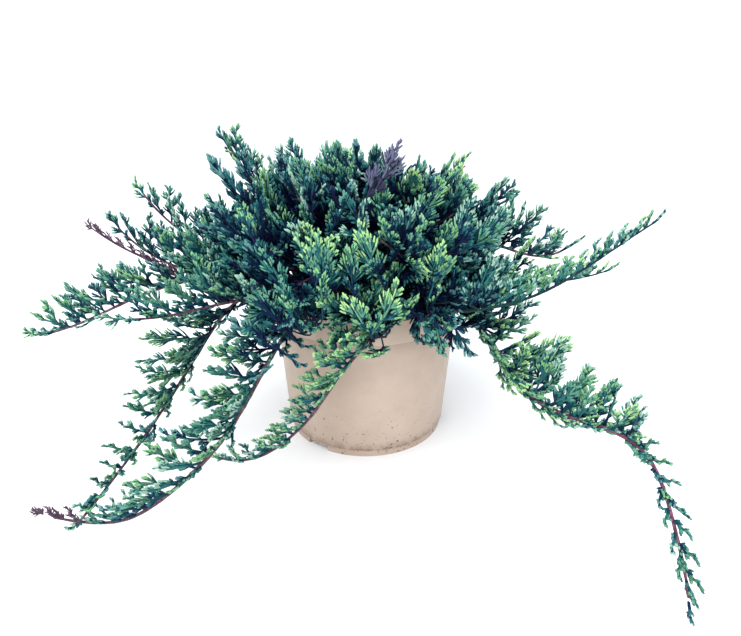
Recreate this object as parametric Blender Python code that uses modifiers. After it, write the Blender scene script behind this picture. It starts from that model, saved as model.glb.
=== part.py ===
"""Creeping juniper of the wiltonii type, growing in a two litre nursery pot.

The pot stands on the floor with its axis on Z and its underside at Z = 0. Metres, +Z up.
The viewer of the plant stands at -Y. A heading is a compass angle in degrees: 0 is +X and
90 is +Y, away from the viewer. A climb is the angle above level, in degrees.
"""

import math
from collections import namedtuple

import bmesh
import bpy
import numpy as np
from mathutils.bvhtree import BVHTree

# Clear space between pieces that touch on the real plant
GAP = 0.0003

# Pot
POT_SIDES = 36
POT_HEIGHT = 0.134
RIM_RADIUS = 0.085
SHOULDER_RADIUS = 0.0755
FOOT_RADIUS = 0.0743
POT_WALL = 0.0017
RIM_WIDTH = 0.0024
LIP_FOOT = 0.130
GROOVE_HEIGHT = 0.1126
GROOVE_DEPTH = 0.0009
FOOT_HEIGHT = 0.0075
FOOT_WIDTH = 0.0026
PAD_RADIUS = 0.050
PAD_THICKNESS = 0.0022
CHANNEL_HEIGHT = 0.0054
FOOT_STEP = 0.0008
FOOT_TAPER = 0.0006
NOTCH_HEIGHT = 0.0048
NOTCH_WIDTH = 0.022
NOTCH_HEADINGS = (233, 353, 113)
DRAIN_HOLES = 6
DRAIN_RADIUS = 0.004

# Root ball, whose top is the soil in the pot
BALL_SIDES = 18
SOIL_EDGE = 0.1172
SOIL_TOP = 0.1195
SOIL_FLAT_RADIUS = 0.021
SOIL_BREAK_SHARE = 0.7

# Trunk: a short stem inside the crown, with a flare at the soil and a slight lean
TRUNK_FOOT = SOIL_TOP + GAP
TRUNK_TOP = 0.168
TRUNK_HEIGHTS = (TRUNK_FOOT, 0.1215, 0.1245, 0.130, 0.144, 0.157, TRUNK_TOP)
TRUNK_RADII = (0.0135, 0.0122, 0.0105, 0.0095, 0.0087, 0.0079, 0.0072)
TRUNK_LEAN = (-0.05, 0.03)
TRUNK_SIDES = 24

# Limbs leave the trunk in tiers; the last tier stands on the fork at its top
TIER_HEIGHTS = (0.128, 0.136, 0.145, 0.153, 0.160)
TOP_TIER = 6
FORK_RADIUS = 0.0051

# A limb's length, and its headings and climbs at evenly spaced stations along it. Its bough
# runs from the trunk to the share bough_end. A trailing limb has a second bough from there
# to lower_end, beside the mass that hangs along it, and a tail beyond.
Limb = namedtuple("Limb", "name tier length headings climbs habit bough_end lower_end")
LIMBS = (
    Limb("left_far", 3, 0.312, (200, 189, 181, 163), (5, 3, -25, -14), "leader", 0.48, 0),
    Limb("left_low", 2, 0.223, (218, 202, 191, 182), (8, 2, -10, 9), "leader", 0.36, 0),
    Limb("left_level", 2, 0.236, (178, 183, 165), (2, 9, 50), "leader", 0.42, 0),
    Limb("left_wide", 3, 0.237, (160, 172, 177), (-1, 14, 64), "leader", 0.36, 0),
    Limb("left_trailing", 1, 0.342, (201, 190, 207, 240, 262, 250), (15, 3, -50, -36, -6, -16),
         "trailing", 0.40, 0),
    Limb("front_left_trailing", 1, 0.376, (235, 236, 241, 164, 182), (42, -28, -30, -37, 25),
         "dense", 0.30, 0.62),
    Limb("front_trailing", 3, 0.289, (290, 278, 221, 162, 194, 169), (5, 1, -37, -60, -34, 21),
         "trailing", 0.42, 0),
    Limb("right_long", 1, 0.291, (293, 319, 381, 372), (9, 12, 21, 32), "leader", 0.34, 0),
    Limb("right_second", 2, 0.211, (348, 344, 370), (17, 1, 17), "leader", 0.40, 0),
    Limb("right_upper", 3, 0.210, (5, 7, 4, 30), (33, 13, -19, 44), "leader", 0.44, 0),
    Limb("right_trailing", 1, 0.379, (335, 313, 314, 319, 269, 301), (28, -8, -46, 5, -29, -81),
         "dense", 0.27, 0.70),
    Limb("back_left", 2, 0.262, (130, 136, 142), (4, 9, -14), "leader", 0.38, 0),
    Limb("back_middle", 3, 0.236, (95, 86, 98), (2, 12, 30), "leader", 0.38, 0),
    Limb("back_right", 2, 0.262, (45, 53, 40), (3, 7, 6), "leader", 0.38, 0),
    Limb("back_trailing", 1, 0.330, (80, 74, 62, 72), (28, -12, -50, -20), "trailing", 0.40, 0),
    Limb("left_high", 5, 0.170, (165, 169, 159), (43, 35, 62), "crown", 0, 0),
    Limb("left_upper", 4, 0.154, (190, 185, 176), (28, 36, 51), "crown", 0, 0),
    Limb("front_left_high", 6, 0.112, (215, 242, 240), (37, 37, 38), "crown", 0, 0),
    Limb("front_left_low", 3, 0.137, (232, 226, 214), (40, 9, 42), "fringe", 0, 0),
    Limb("front_low", 2, 0.160, (250, 238, 215), (35, 10, -83), "fringe", 0, 0),
    Limb("front_fan", 4, 0.131, (240, 254, 270), (24, 24, 43), "fringe", 0, 0),
    Limb("front_high", 4, 0.115, (272, 262, 266), (42, 46, 55), "crown", 0, 0),
    Limb("front_crest", 5, 0.147, (286, 284, 196), (10, 24, 36), "fringe", 0, 0),
    Limb("front_right_fan", 4, 0.138, (308, 294, 291), (12, 23, 48), "fringe", 0, 0),
    Limb("front_right_high", 6, 0.105, (328, 292, 286), (53, 36, 37), "crown", 0, 0),
    Limb("front_right_low", 2, 0.141, (310, 288, 293), (20, 11, -83), "fringe", 0, 0),
    Limb("right_front_crest", 5, 0.121, (322, 312, 315), (33, 32, 34), "crown", 0, 0),
    Limb("right_front_low", 3, 0.130, (325, 305, 331), (25, 16, 20), "fringe", 0, 0),
    Limb("right_crest", 4, 0.162, (25, 26, 14), (46, 12, 41), "crown", 0, 0),
    Limb("right_high", 5, 0.136, (352, 360, 372), (62, 42, 43), "crown", 0, 0),
    Limb("top_left", 6, 0.122, (150, 135, 151), (59, 35, 60), "crown", 0, 0),
    Limb("top_middle", 6, 0.116, (80, 110, 145), (30, 50, 80), "crown", 0, 0),
    Limb("top_right", 6, 0.103, (20, 25, 28), (86, 71, 44), "crown", 0, 0),
    Limb("top_front", 6, 0.106, (275, 262, 285), (66, 60, 66), "crown", 0, 0),
    Limb("back_left_high", 4, 0.150, (135, 131, 122), (42, 33, 52), "crown", 0, 0),
    Limb("back_high", 5, 0.146, (95, 88, 94), (44, 40, 60), "crown", 0, 0),
    Limb("back_right_high", 4, 0.150, (62, 54, 50), (42, 32, 50), "crown", 0, 0),
)

# The bare, dying shoot that forks from the tip of the far left bough
DEAD_SHOOT = Limb("dead_shoot", 0, 0.088, (176, 180, 184), (38, 28, 44), "dead", 0, 0)

# Habit of a mass: where its plumes begin, how far apart they stand, how long they are at
# its foot and at its tip, how far they lean from the stem, how far round it they spread,
# how wide they are for their length, and the radius of the stem
Habit = namedtuple("Habit", "first spacing length tip_length lean fan slender radius")
HABITS = {
    "crown": Habit(0.28, 0.0098, 0.054, 0.046, 42, 165, 0.52, 0.0019),
    "leader": Habit(0.04, 0.0150, 0.050, 0.032, 48, 80, 0.48, 0.0017),
    "trailing": Habit(0.02, 0.0130, 0.058, 0.034, 74, 45, 0.40, 0.0017),
    "dense": Habit(0.0, 0.0085, 0.056, 0.040, 80, 62, 0.34, 0.0017),
    "fringe": Habit(0.24, 0.0080, 0.050, 0.044, 46, 170, 0.54, 0.0019),
    "tail": Habit(0.05, 0.0160, 0.030, 0.022, 58, 80, 0.45, 0.0014),
    "dead": Habit(0.35, 0.0220, 0.022, 0.020, 40, 60, 0.45, 0.0012),
}
PLUME_THICKNESS = 0.0030
PLUME_CURL = 0.10
PLUME_TWIST = 25
LEAN_SPREAD = 9
LEAST_TURN = 0.2
SIZE_SPREAD = 0.1
SMALL_PLUME = 0.030
TIP_RADIUS = 0.0007
SIZE_STEPS = (1.0, 0.8, 0.62, 0.48)
TRIES = 6
TIP_SHARE = 0.75
SEED = 41

# Half outlines of a toothed blade, as shares of its length and half width, and its ridge
LARGE_BLADE = ((0.36, 0.95), (0.36, 0.34), (0.62, 0.90), (0.64, 0.26), (0.85, 0.50))
SMALL_BLADE = ((0.42, 1.0), (0.42, 0.34), (0.74, 0.68))
RIDGE_ROOT = 0.08
RIDGE_TIP = 0.55
RIDGE_ROOT_DEPTH = 0.8

# A mass's space reaches a little past the midway surface between its stem and the next
# ones, as neighbouring plumes mesh like fingers; room left to plumes, limbs, pot and floor
SPACE_OVERREACH = 0.006
PLUME_MARGIN = 0.0008
LIMB_MARGIN = 0.0012
STEM_MARGIN = 0.0031
FLOOR_MARGIN = 0.004
ROOT_SHARE = 0.2

BOUGH_RADIUS = 0.0029
BOUGH_TIP_RADIUS = 0.0021
LOWER_TIP_RADIUS = 0.0016
ROUTE_STEPS = 80
STATION_SPACING = 0.024
END_STRAIGHT = 0.0025
FRAME_REACH = 0.003
STEEP = 0.15
END_CLEARANCE = 0.001

# Two pieces that start at one bough's tip stand side by side, the upper one lifted
STEM_LIFT = 0.0023
LIFT_AWAY = 0.0075
LIFTED_STEM_RADIUS = 0.0012
LIFTED_STEM_SHORT = 0.012
LOWER_DROP = 0.0013
PAIRED_DROP = 0.0008
PAIRED_STEM_RADIUS = 0.0014

MERGE_DISTANCE = 1e-6
SLIVER_DISTANCE = 2e-6

WORLD_UP = np.array([0.0, 0.0, 1.0])


def new_material(name, colour, roughness):
    material = bpy.data.materials.new(name)
    material.use_nodes = True
    shader = material.node_tree.nodes["Principled BSDF"]
    shader.inputs["Base Color"].default_value = (*colour, 1.0)
    shader.inputs["Roughness"].default_value = roughness
    shader.inputs["Metallic"].default_value = 0.0
    return material


def new_object(name, data, collection, material=None):
    obj = bpy.data.objects.new(name, data)
    collection.objects.link(obj)
    if material:
        data.materials.clear()
        data.materials.append(material)
    return obj


def unit(vector):
    return vector / np.linalg.norm(vector)


def smooth_stations(values, shares):
    """Values at evenly spaced stations, read by a smooth curve at shares from 0 to 1."""
    values = np.asarray(values, float)
    padded = np.concatenate([[2 * values[0] - values[1]], values, [2 * values[-1] - values[-2]]])
    place = np.asarray(shares) * (len(values) - 1)
    index = np.clip(np.floor(place).astype(int), 0, len(values) - 2)
    t = place - index
    a, b, c, d = (padded[index + k] for k in range(4))
    slope_terms = (c - a) * t + (2 * a - 5 * b + 4 * c - d) * t * t
    return b + 0.5 * (slope_terms + (3 * b - a - 3 * c + d) * t ** 3)


def trunk_axis(height):
    rise = height - TRUNK_FOOT
    return np.array([TRUNK_LEAN[0] * rise, TRUNK_LEAN[1] * rise, height])


def trunk_radius(height):
    return float(np.interp(height, TRUNK_HEIGHTS, TRUNK_RADII))


def limb_root(limb, radius):
    """Where a limb's centre line starts, so that its cut face is just clear of the trunk."""
    heading = math.radians(limb.headings[0])
    climb = math.radians(limb.climbs[0])
    outward = np.array([math.cos(heading), math.sin(heading), 0.0])
    if limb.tier == TOP_TIER:
        height = TRUNK_TOP + GAP + radius * math.cos(climb)
        return trunk_axis(height) + outward * FORK_RADIUS
    height = TIER_HEIGHTS[limb.tier - 1]
    reach = GAP + max(
        side * math.sin(climb) + trunk_radius(height + side * math.cos(climb))
        for side in (-radius, 0.0, radius)
    )
    return trunk_axis(height) + outward * reach


def limb_route(limb, start):
    """Points along a limb, from its length, headings and climbs."""
    middles = (np.arange(ROUTE_STEPS) + 0.5) / ROUTE_STEPS
    heading = np.radians(smooth_stations(limb.headings, middles))
    climb = np.radians(smooth_stations(limb.climbs, middles))
    level = np.cos(climb)
    steps = np.stack([level * np.cos(heading), level * np.sin(heading), np.sin(climb)], axis=1)
    walked = np.cumsum(steps * limb.length / ROUTE_STEPS, axis=0)
    return np.concatenate([[start], start + walked])


class Route:
    """A centre line that can be read at any distance along it."""

    def __init__(self, points):
        self.points = np.asarray(points)
        pieces = np.linalg.norm(np.diff(self.points, axis=0), axis=1)
        self.distances = np.concatenate([[0.0], np.cumsum(pieces)])
        self.length = self.distances[-1]

    def at(self, distance):
        return np.array([np.interp(distance, self.distances, self.points[:, k]) for k in range(3)])

    def frame(self, distance):
        """Place, forward, upward and sideways directions."""
        ahead = self.at(min(distance + FRAME_REACH, self.length))
        behind = self.at(max(distance - FRAME_REACH, 0.0))
        forward = unit(ahead - behind)
        upward = WORLD_UP - forward * forward[2]
        if np.linalg.norm(upward) < STEEP:
            upward = np.array([0.0, 1.0, 0.0]) - forward * forward[1]
        upward = unit(upward)
        return self.at(distance), forward, upward, np.cross(forward, upward)

    def clipped(self, end):
        """The same line as far as a distance along it."""
        kept = self.points[self.distances < end - END_CLEARANCE]
        return Route(np.concatenate([kept, [self.at(end)]]))

    def stretch(self, begin, end, lift_begin=0.0, lift_end=0.0):
        """The part between two distances, shifted upward across the line by a growing lift."""
        count = max(3, round((end - begin) / STATION_SPACING) + 1)
        stops = np.linspace(begin, end, count)
        stops = np.concatenate([stops[:1], [begin + END_STRAIGHT], stops[1:-1],
                                [end - END_STRAIGHT], stops[-1:]])
        points = []
        for stop in stops:
            place, _, upward, _ = self.frame(stop)
            share = (stop - begin) / (end - begin)
            ease = share * share * (3 - 2 * share)
            points.append(place + upward * (lift_begin + (lift_end - lift_begin) * ease))
        return Route(points)


def tube_mesh(name, points, radii, sides, profile=None):
    """A closed tapering tube: three sides by a profile curve, an even number by a bevel."""
    curve = bpy.data.curves.new(name, "CURVE")
    curve.dimensions = "3D"
    curve.use_fill_caps = True
    if profile:
        curve.bevel_mode = "OBJECT"
        curve.bevel_object = profile
    else:
        curve.bevel_depth = 1.0
        curve.bevel_resolution = (sides - 4) // 2
    spline = curve.splines.new("POLY")
    spline.points.add(len(points) - 1)
    for point, place, radius in zip(spline.points, points, radii):
        point.co = (*place, 1.0)
        point.radius = radius
    carrier = bpy.data.objects.new(name, curve)
    bpy.context.scene.collection.objects.link(carrier)
    bpy.context.view_layer.update()
    evaluated = carrier.evaluated_get(bpy.context.evaluated_depsgraph_get())
    mesh = bpy.data.meshes.new_from_object(evaluated)
    bpy.data.objects.remove(carrier)
    bpy.data.curves.remove(curve)
    build = bmesh.new()
    build.from_mesh(mesh)
    bmesh.ops.remove_doubles(build, verts=build.verts, dist=MERGE_DISTANCE)
    bmesh.ops.triangulate(build, faces=build.faces)
    bmesh.ops.recalc_face_normals(build, faces=build.faces)
    build.to_mesh(mesh)
    build.free()
    return mesh


def twig_profile():
    """The three-sided section that every twig is drawn with, one unit in radius."""
    curve = bpy.data.curves.new("twig_profile", "CURVE")
    curve.dimensions = "2D"
    spline = curve.splines.new("POLY")
    spline.points.add(2)
    spline.use_cyclic_u = True
    for k, point in enumerate(spline.points):
        turn = math.tau * k / 3
        point.co = (math.cos(turn), math.sin(turn), 0.0, 1.0)
    guide = bpy.data.objects.new("twig_profile", curve)
    bpy.context.scene.collection.objects.link(guide)
    guide.hide_render = True
    guide.display_type = "WIRE"
    return guide


def turned(name, profile, sides, collection, material):
    """A profile of radius and height turned round Z, its outer side running downward."""
    mesh = bpy.data.meshes.new(name)
    corners = [(radius, 0.0, height) for radius, height in profile]
    mesh.from_pydata(corners, [(k, k + 1) for k in range(len(corners) - 1)], [])
    obj = new_object(name, mesh, collection, material)
    screw = obj.modifiers.new("turn", "SCREW")
    screw.axis = "Z"
    screw.angle = math.tau
    screw.steps = sides
    screw.render_steps = sides
    screw.use_merge_vertices = True
    screw.merge_threshold = 1e-5
    screw.use_smooth_shade = True
    return obj


def cut_from(obj, cutters):
    cut = obj.modifiers.new("cut", "BOOLEAN")
    cut.operation = "DIFFERENCE"
    cut.operand_type = "COLLECTION"
    cut.collection = cutters
    cut.solver = "EXACT"


def hide_cutter(cutter, cutters):
    for collection in list(cutter.users_collection):
        collection.objects.unlink(cutter)
    cutters.objects.link(cutter)
    cutter.hide_render = True
    cutter.display_type = "WIRE"


def side_radius(height):
    """Outer radius of the pot's side, which tapers evenly from the rim to the shoulder."""
    share = (height - FOOT_HEIGHT) / (POT_HEIGHT - FOOT_HEIGHT)
    return SHOULDER_RADIUS + (RIM_RADIUS - SHOULDER_RADIUS) * share


def inner_radius(height):
    """Inner radius of the pot's side, whose wall thickens evenly towards the rim."""
    share = (height - FOOT_HEIGHT) / (LIP_FOOT - FOOT_HEIGHT)
    return side_radius(height) - POT_WALL - (RIM_WIDTH - POT_WALL) * share


def inner_floor(clearance):
    """Inside of the pot's floor, from its middle to its side, drawn in by a clearance."""
    return [
        (PAD_RADIUS - POT_WALL - clearance, PAD_THICKNESS + clearance),
        (PAD_RADIUS + POT_WALL - clearance, FOOT_HEIGHT + clearance),
        (inner_radius(FOOT_HEIGHT) - clearance, FOOT_HEIGHT + clearance),
    ]


def make_pot(collection, cutters, material):
    band_foot = side_radius(GROOVE_HEIGHT)
    profile = [(0.0, PAD_THICKNESS)]
    profile += inner_floor(0.0)
    profile += [
        (inner_radius(LIP_FOOT), LIP_FOOT),
        (RIM_RADIUS - RIM_WIDTH, POT_HEIGHT),
        (RIM_RADIUS, POT_HEIGHT),
        (band_foot, GROOVE_HEIGHT + GROOVE_DEPTH),
        (band_foot - GROOVE_DEPTH, GROOVE_HEIGHT),
        (band_foot - GROOVE_DEPTH / 2, GROOVE_HEIGHT - GROOVE_DEPTH),
        (SHOULDER_RADIUS, FOOT_HEIGHT),
        (FOOT_RADIUS, FOOT_HEIGHT - FOOT_STEP),
        (FOOT_RADIUS - FOOT_TAPER, 0.0),
        (FOOT_RADIUS - FOOT_WIDTH, 0.0),
        (FOOT_RADIUS - FOOT_WIDTH, CHANNEL_HEIGHT),
        (PAD_RADIUS + POT_WALL, CHANNEL_HEIGHT),
        (PAD_RADIUS, 0.0),
        (0.0, 0.0),
    ]
    pot = turned("pot", profile, POT_SIDES, collection, material)
    for heading in NOTCH_HEADINGS:
        turn = math.radians(heading)
        bpy.ops.mesh.primitive_cube_add(size=1.0, location=(
            (FOOT_RADIUS - FOOT_WIDTH / 2) * math.cos(turn),
            (FOOT_RADIUS - FOOT_WIDTH / 2) * math.sin(turn),
            0.0,
        ))
        notch = bpy.context.active_object
        notch.name = f"notch_cutter_{heading}"
        notch.rotation_euler = (0.0, 0.0, turn)
        notch.scale = (FOOT_WIDTH * 3, NOTCH_WIDTH, NOTCH_HEIGHT * 2)
        hide_cutter(notch, cutters)
    drain_ring = (PAD_RADIUS + POT_WALL + FOOT_RADIUS - FOOT_WIDTH) / 2
    for k in range(DRAIN_HOLES):
        turn = math.tau * (k + 0.5) / DRAIN_HOLES
        bpy.ops.mesh.primitive_cylinder_add(
            vertices=8, radius=DRAIN_RADIUS, depth=FOOT_HEIGHT,
            location=(drain_ring * math.cos(turn), drain_ring * math.sin(turn), FOOT_HEIGHT),
        )
        hole = bpy.context.active_object
        hole.name = f"drain_cutter_{k + 1}"
        hide_cutter(hole, cutters)
    cut_from(pot, cutters)


def make_root_ball(collection, material):
    edge = inner_radius(SOIL_EDGE) - GAP
    profile = [
        (0.0, SOIL_TOP),
        (SOIL_FLAT_RADIUS, SOIL_TOP),
        (edge * SOIL_BREAK_SHARE, (SOIL_TOP + SOIL_EDGE) / 2),
        (edge, SOIL_EDGE),
    ]
    profile += reversed(inner_floor(GAP))
    profile += [(0.0, PAD_THICKNESS + GAP)]
    turned("root_ball", profile, BALL_SIDES, collection, material)


def make_trunk(collection, material):
    points = [trunk_axis(height) for height in TRUNK_HEIGHTS]
    points[1] = np.array([points[0][0], points[0][1], TRUNK_HEIGHTS[1]])
    mesh = tube_mesh("trunk", points, TRUNK_RADII, sides=TRUNK_SIDES)
    mesh.shade_smooth()
    new_object("trunk", mesh, collection, material)


def make_bough(name, route, radius, tip_radius, collection, material):
    shares = route.distances / route.length
    radii = radius + (tip_radius - radius) * shares
    mesh = tube_mesh(name, route.points, radii, sides=6)
    mesh.shade_smooth()
    new_object(name, mesh, collection, material)


Plume = namedtuple("Plume", "place forward across length width")


def blade_points(plume, margin=0.0):
    """Outline, root to tip and back, and the ridge points above and below the blade."""
    normal = np.cross(plume.forward, plume.across)
    if normal[2] < 0:
        normal = -normal

    def place(along, side, height):
        curl = PLUME_CURL * along * along * plume.length
        return (plume.place + plume.forward * along * (plume.length + margin)
                + plume.across * side * (plume.width / 2 + margin) + normal * (height + curl))

    half = LARGE_BLADE if plume.length > SMALL_PLUME else SMALL_BLADE
    outline = [place(0.0, 0.0, 0.0)]
    outline += [place(along, side, 0.0) for along, side in half]
    outline += [place(1.0, 0.0, 0.0)]
    outline += [place(along, -side, 0.0) for along, side in reversed(half)]
    depth = PLUME_THICKNESS / 2 + margin
    ridges = [(place(RIDGE_ROOT, 0.0, side * depth * RIDGE_ROOT_DEPTH),
               place(RIDGE_TIP, 0.0, side * depth)) for side in (1, -1)]
    return outline, ridges


def blade_shape(plume, margin=0.0):
    """A blade's corners and faces: outline edges join the nearer point of each ridge."""
    outline, ridges = blade_points(plume, margin)
    count = len(outline)
    first_notch = 2
    near_root = set(range(first_notch)) | set(range(count - first_notch, count))
    corners = list(outline)
    faces = []
    for root_point, tip_point in ridges:
        root_index = len(corners)
        tip_index = root_index + 1
        corners += [root_point, tip_point]
        for k in range(count):
            apex = root_index if k in near_root else tip_index
            faces.append((k, (k + 1) % count, apex))
        faces.append((first_notch, tip_index, root_index))
        faces.append((count - first_notch, root_index, tip_index))
    return [tuple(corner) for corner in corners], faces


def blade_object(plume, name, collection):
    mesh = bpy.data.meshes.new(name)
    corners, faces = blade_shape(plume)
    mesh.from_pydata(corners, [], faces)
    build = bmesh.new()
    build.from_mesh(mesh)
    bmesh.ops.recalc_face_normals(build, faces=build.faces)
    build.to_mesh(mesh)
    build.free()
    return new_object(name, mesh, collection)


class Spaces:
    """The centre lines of all stems and limbs, which share out the crown between them."""

    def __init__(self):
        self.begins = []
        self.ends = []
        self.radii = []
        self.owners = []
        self.is_stem = []

    def add(self, owner, route, radius, is_stem):
        for begin, end in zip(route.points[:-1], route.points[1:]):
            self.begins.append(begin)
            self.ends.append(end)
            self.radii.append(radius)
            self.owners.append(owner)
            self.is_stem.append(is_stem)

    def freeze(self):
        self.begins = np.array(self.begins)
        self.ends = np.array(self.ends)
        self.radii = np.array(self.radii)
        self.owners = np.array(self.owners)
        self.is_stem = np.array(self.is_stem)

    def distances(self, points):
        along = self.ends - self.begins
        offset = points[:, None, :] - self.begins[None]
        share = np.einsum("psk,sk->ps", offset, along) / np.einsum("sk,sk->s", along, along)
        nearest = offset - np.clip(share, 0.0, 1.0)[..., None] * along[None]
        return np.linalg.norm(nearest, axis=2)

    def holds(self, owner, points):
        """True where the points keep to the owner's space and clear of everything else."""
        distances = self.distances(points)
        own = distances[:, self.owners == owner].min(axis=1)
        others = distances[:, self.is_stem & (self.owners != owner)].min(axis=1)
        if (own - SPACE_OVERREACH > others).any() or (others < STEM_MARGIN).any():
            return False
        boughs = distances[:, ~self.is_stem] - self.radii[~self.is_stem]
        if (boughs < LIMB_MARGIN).any():
            return False
        height = points[:, 2]
        radial = np.hypot(points[:, 0], points[:, 1])
        inside = radial < RIM_RADIUS - RIM_WIDTH - 2 * LIMB_MARGIN
        outside = radial > RIM_RADIUS + LIMB_MARGIN
        above_rim = height > POT_HEIGHT + LIMB_MARGIN
        above_soil = height > SOIL_TOP + LIMB_MARGIN
        clear_of_pot = above_rim | (inside & above_soil) | outside
        return bool(clear_of_pot.all() and (height > FLOOR_MARGIN).all())


def try_plume(stem, habit, share, at_tip, side, scale, rng):
    """One plume at a share of the stem's leafy length, turned by the seeded rule."""
    first = habit.first * stem.length
    last = stem.length - habit.tip_length
    place, forward, upward, sideways = stem.frame(first + (last - first) * share)
    round_stem = math.radians(side * habit.fan * rng.uniform(LEAST_TURN, 1.0))
    lean = math.radians(habit.lean + LEAN_SPREAD * rng.uniform(-1, 1))
    twist = math.radians(PLUME_TWIST * rng.uniform(-1, 1))
    size = 1.0 + SIZE_SPREAD * rng.uniform(-1, 1)
    if at_tip:
        lean, size = 0.0, 1.0
    across_stem = upward * math.cos(round_stem) + sideways * math.sin(round_stem)
    direction = unit(forward * math.cos(lean) + across_stem * math.sin(lean))
    in_plane = sideways if at_tip else forward
    flat = unit(in_plane - direction * in_plane.dot(direction))
    across = flat * math.cos(twist) + np.cross(direction, flat) * math.sin(twist)
    length = (habit.length + (habit.tip_length - habit.length) * share) * size * scale
    return Plume(place, direction, across, length, length * habit.slender)


def place_plume(owner, stem, habit, k, count, spaces, grown, rng):
    """The first of a few tries, large before small, that keeps its space and meets nothing."""
    side = 1 if k % 2 else -1
    for attempt in range(len(SIZE_STEPS) * TRIES):
        scale = SIZE_STEPS[attempt // TRIES]
        plume = try_plume(stem, habit, k / count, k == count, side, scale, rng)
        corners, faces = blade_shape(plume, PLUME_MARGIN)
        points = np.array(corners)
        outline = points[:-4]
        tested = np.concatenate([points, (outline + np.roll(outline, 1, axis=0)) / 2])
        from_root = np.linalg.norm(tested - plume.place, axis=1)
        away = tested[from_root > ROOT_SHARE * plume.length]
        if not spaces.holds(owner, away):
            continue
        tree = BVHTree.FromPolygons(corners, faces)
        if not any(tree.overlap(other) for other in grown):
            grown.append(tree)
            return plume
    return None


def grow_plumes(stems, spaces):
    """Plumes on alternate sides of every stem; the stems take turns, from their tips inward."""
    turns = []
    for index, (name, stem, habit) in enumerate(stems):
        leafy = (1 - habit.first) * stem.length - habit.tip_length
        count = max(2, round(leafy / habit.spacing))
        rng = np.random.default_rng(SEED + index)
        turns += [(count - k, index, k, count, rng) for k in range(count + 1)]
    turns.sort(key=lambda turn: turn[:2])
    plumes = {name: [] for name, _, _ in stems}
    grown = []
    for _, index, k, count, rng in turns:
        name, stem, habit = stems[index]
        plume = place_plume(name, stem, habit, k, count, spaces, grown, rng)
        if plume:
            plumes[name].append(plume)
    return plumes


def closed_body(mesh):
    """Keeps the largest shell, which drops scraps and fills sealed hollows; None if open."""
    build = bmesh.new()
    build.from_mesh(mesh)
    bmesh.ops.triangulate(build, faces=build.faces)
    bmesh.ops.dissolve_degenerate(build, dist=SLIVER_DISTANCE, edges=build.edges)
    bmesh.ops.triangulate(build, faces=build.faces)
    shells = []
    left = set(build.faces)
    while left:
        shell = {left.pop()}
        front = list(shell)
        while front:
            face = front.pop()
            for edge in face.edges:
                for neighbour in edge.link_faces:
                    if neighbour in left:
                        left.discard(neighbour)
                        shell.add(neighbour)
                        front.append(neighbour)
        shells.append(shell)
    shells.sort(key=len, reverse=True)
    for shell in shells[1:]:
        bmesh.ops.delete(build, geom=list(shell), context="FACES")
    loose = [vert for vert in build.verts if not vert.link_faces]
    bmesh.ops.delete(build, geom=loose, context="VERTS")
    is_closed = all(edge.is_manifold for edge in build.edges)
    is_closed = is_closed and all(vert.is_manifold for vert in build.verts)
    if is_closed:
        build.to_mesh(mesh)
    build.free()
    return mesh if is_closed else None


def join_mass(name, stem_mesh, plumes, collection, material):
    """One Boolean union of the stem with its plumes; fewer plumes where a union fails."""
    pieces = bpy.data.collections.new(name + "_plumes")
    bpy.context.scene.collection.children.link(pieces)
    for k, plume in enumerate(plumes):
        blade_object(plume, f"{name}_plume_{k}", pieces)
    stem = new_object(name + "_stem", stem_mesh, bpy.context.scene.collection)
    union = stem.modifiers.new("join", "BOOLEAN")
    union.operation = "UNION"
    union.operand_type = "COLLECTION"
    union.collection = pieces
    joined = None
    while joined is None and len(pieces.objects):
        for solver in ("EXACT", "MANIFOLD"):
            union.solver = solver
            bpy.context.view_layer.update()
            evaluated = stem.evaluated_get(bpy.context.evaluated_depsgraph_get())
            joined = closed_body(bpy.data.meshes.new_from_object(evaluated))
            if joined:
                break
        if joined is None:
            bpy.data.objects.remove(pieces.objects[-1])
    for piece in list(pieces.objects):
        bpy.data.objects.remove(piece)
    bpy.data.collections.remove(pieces)
    bpy.data.objects.remove(stem)
    joined.name = name
    new_object(name, joined, collection, material)


def plan_limbs():
    """Routes of all boughs and stems, each with its radii, before any foliage is placed."""
    boughs = []
    stems = []
    fork = None
    for limb in LIMBS:
        habit = HABITS[limb.habit]
        radius = BOUGH_RADIUS if limb.bough_end else habit.radius
        route = Route(limb_route(limb, limb_root(limb, radius)))
        begin = limb.bough_end * route.length
        if limb.bough_end:
            boughs.append((limb.name + "_bough", route.stretch(0.0, begin),
                           BOUGH_RADIUS, BOUGH_TIP_RADIUS))
            begin += GAP
        if not limb.lower_end:
            stems.append((limb.name, route.stretch(begin, route.length), habit))
        else:
            lower = limb.lower_end * route.length
            low_route = route.stretch(begin, lower, -LOWER_DROP, 0.0)
            boughs.append((limb.name + "_lower_bough", low_route,
                           BOUGH_TIP_RADIUS - GAP, LOWER_TIP_RADIUS))
            stems.append((limb.name, route.stretch(begin, lower - LIFTED_STEM_SHORT, STEM_LIFT,
                                                     LIFT_AWAY),
                          habit._replace(radius=LIFTED_STEM_RADIUS)))
            stems.append((limb.name + "_tail", route.stretch(lower + GAP, route.length),
                          HABITS["tail"]))
        if limb.name == "left_far":
            place, _, upward, _ = route.frame(begin)
            fork = place + upward * STEM_LIFT
            name, _, habit = stems.pop()
            stems.append((name, route.stretch(begin, route.length, -PAIRED_DROP, 0.0),
                          habit._replace(radius=PAIRED_STEM_RADIUS)))
    dead_route = Route(limb_route(DEAD_SHOOT, fork))
    stems.append((DEAD_SHOOT.name, dead_route.stretch(0.0, dead_route.length), HABITS["dead"]))
    return boughs, stems


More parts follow.
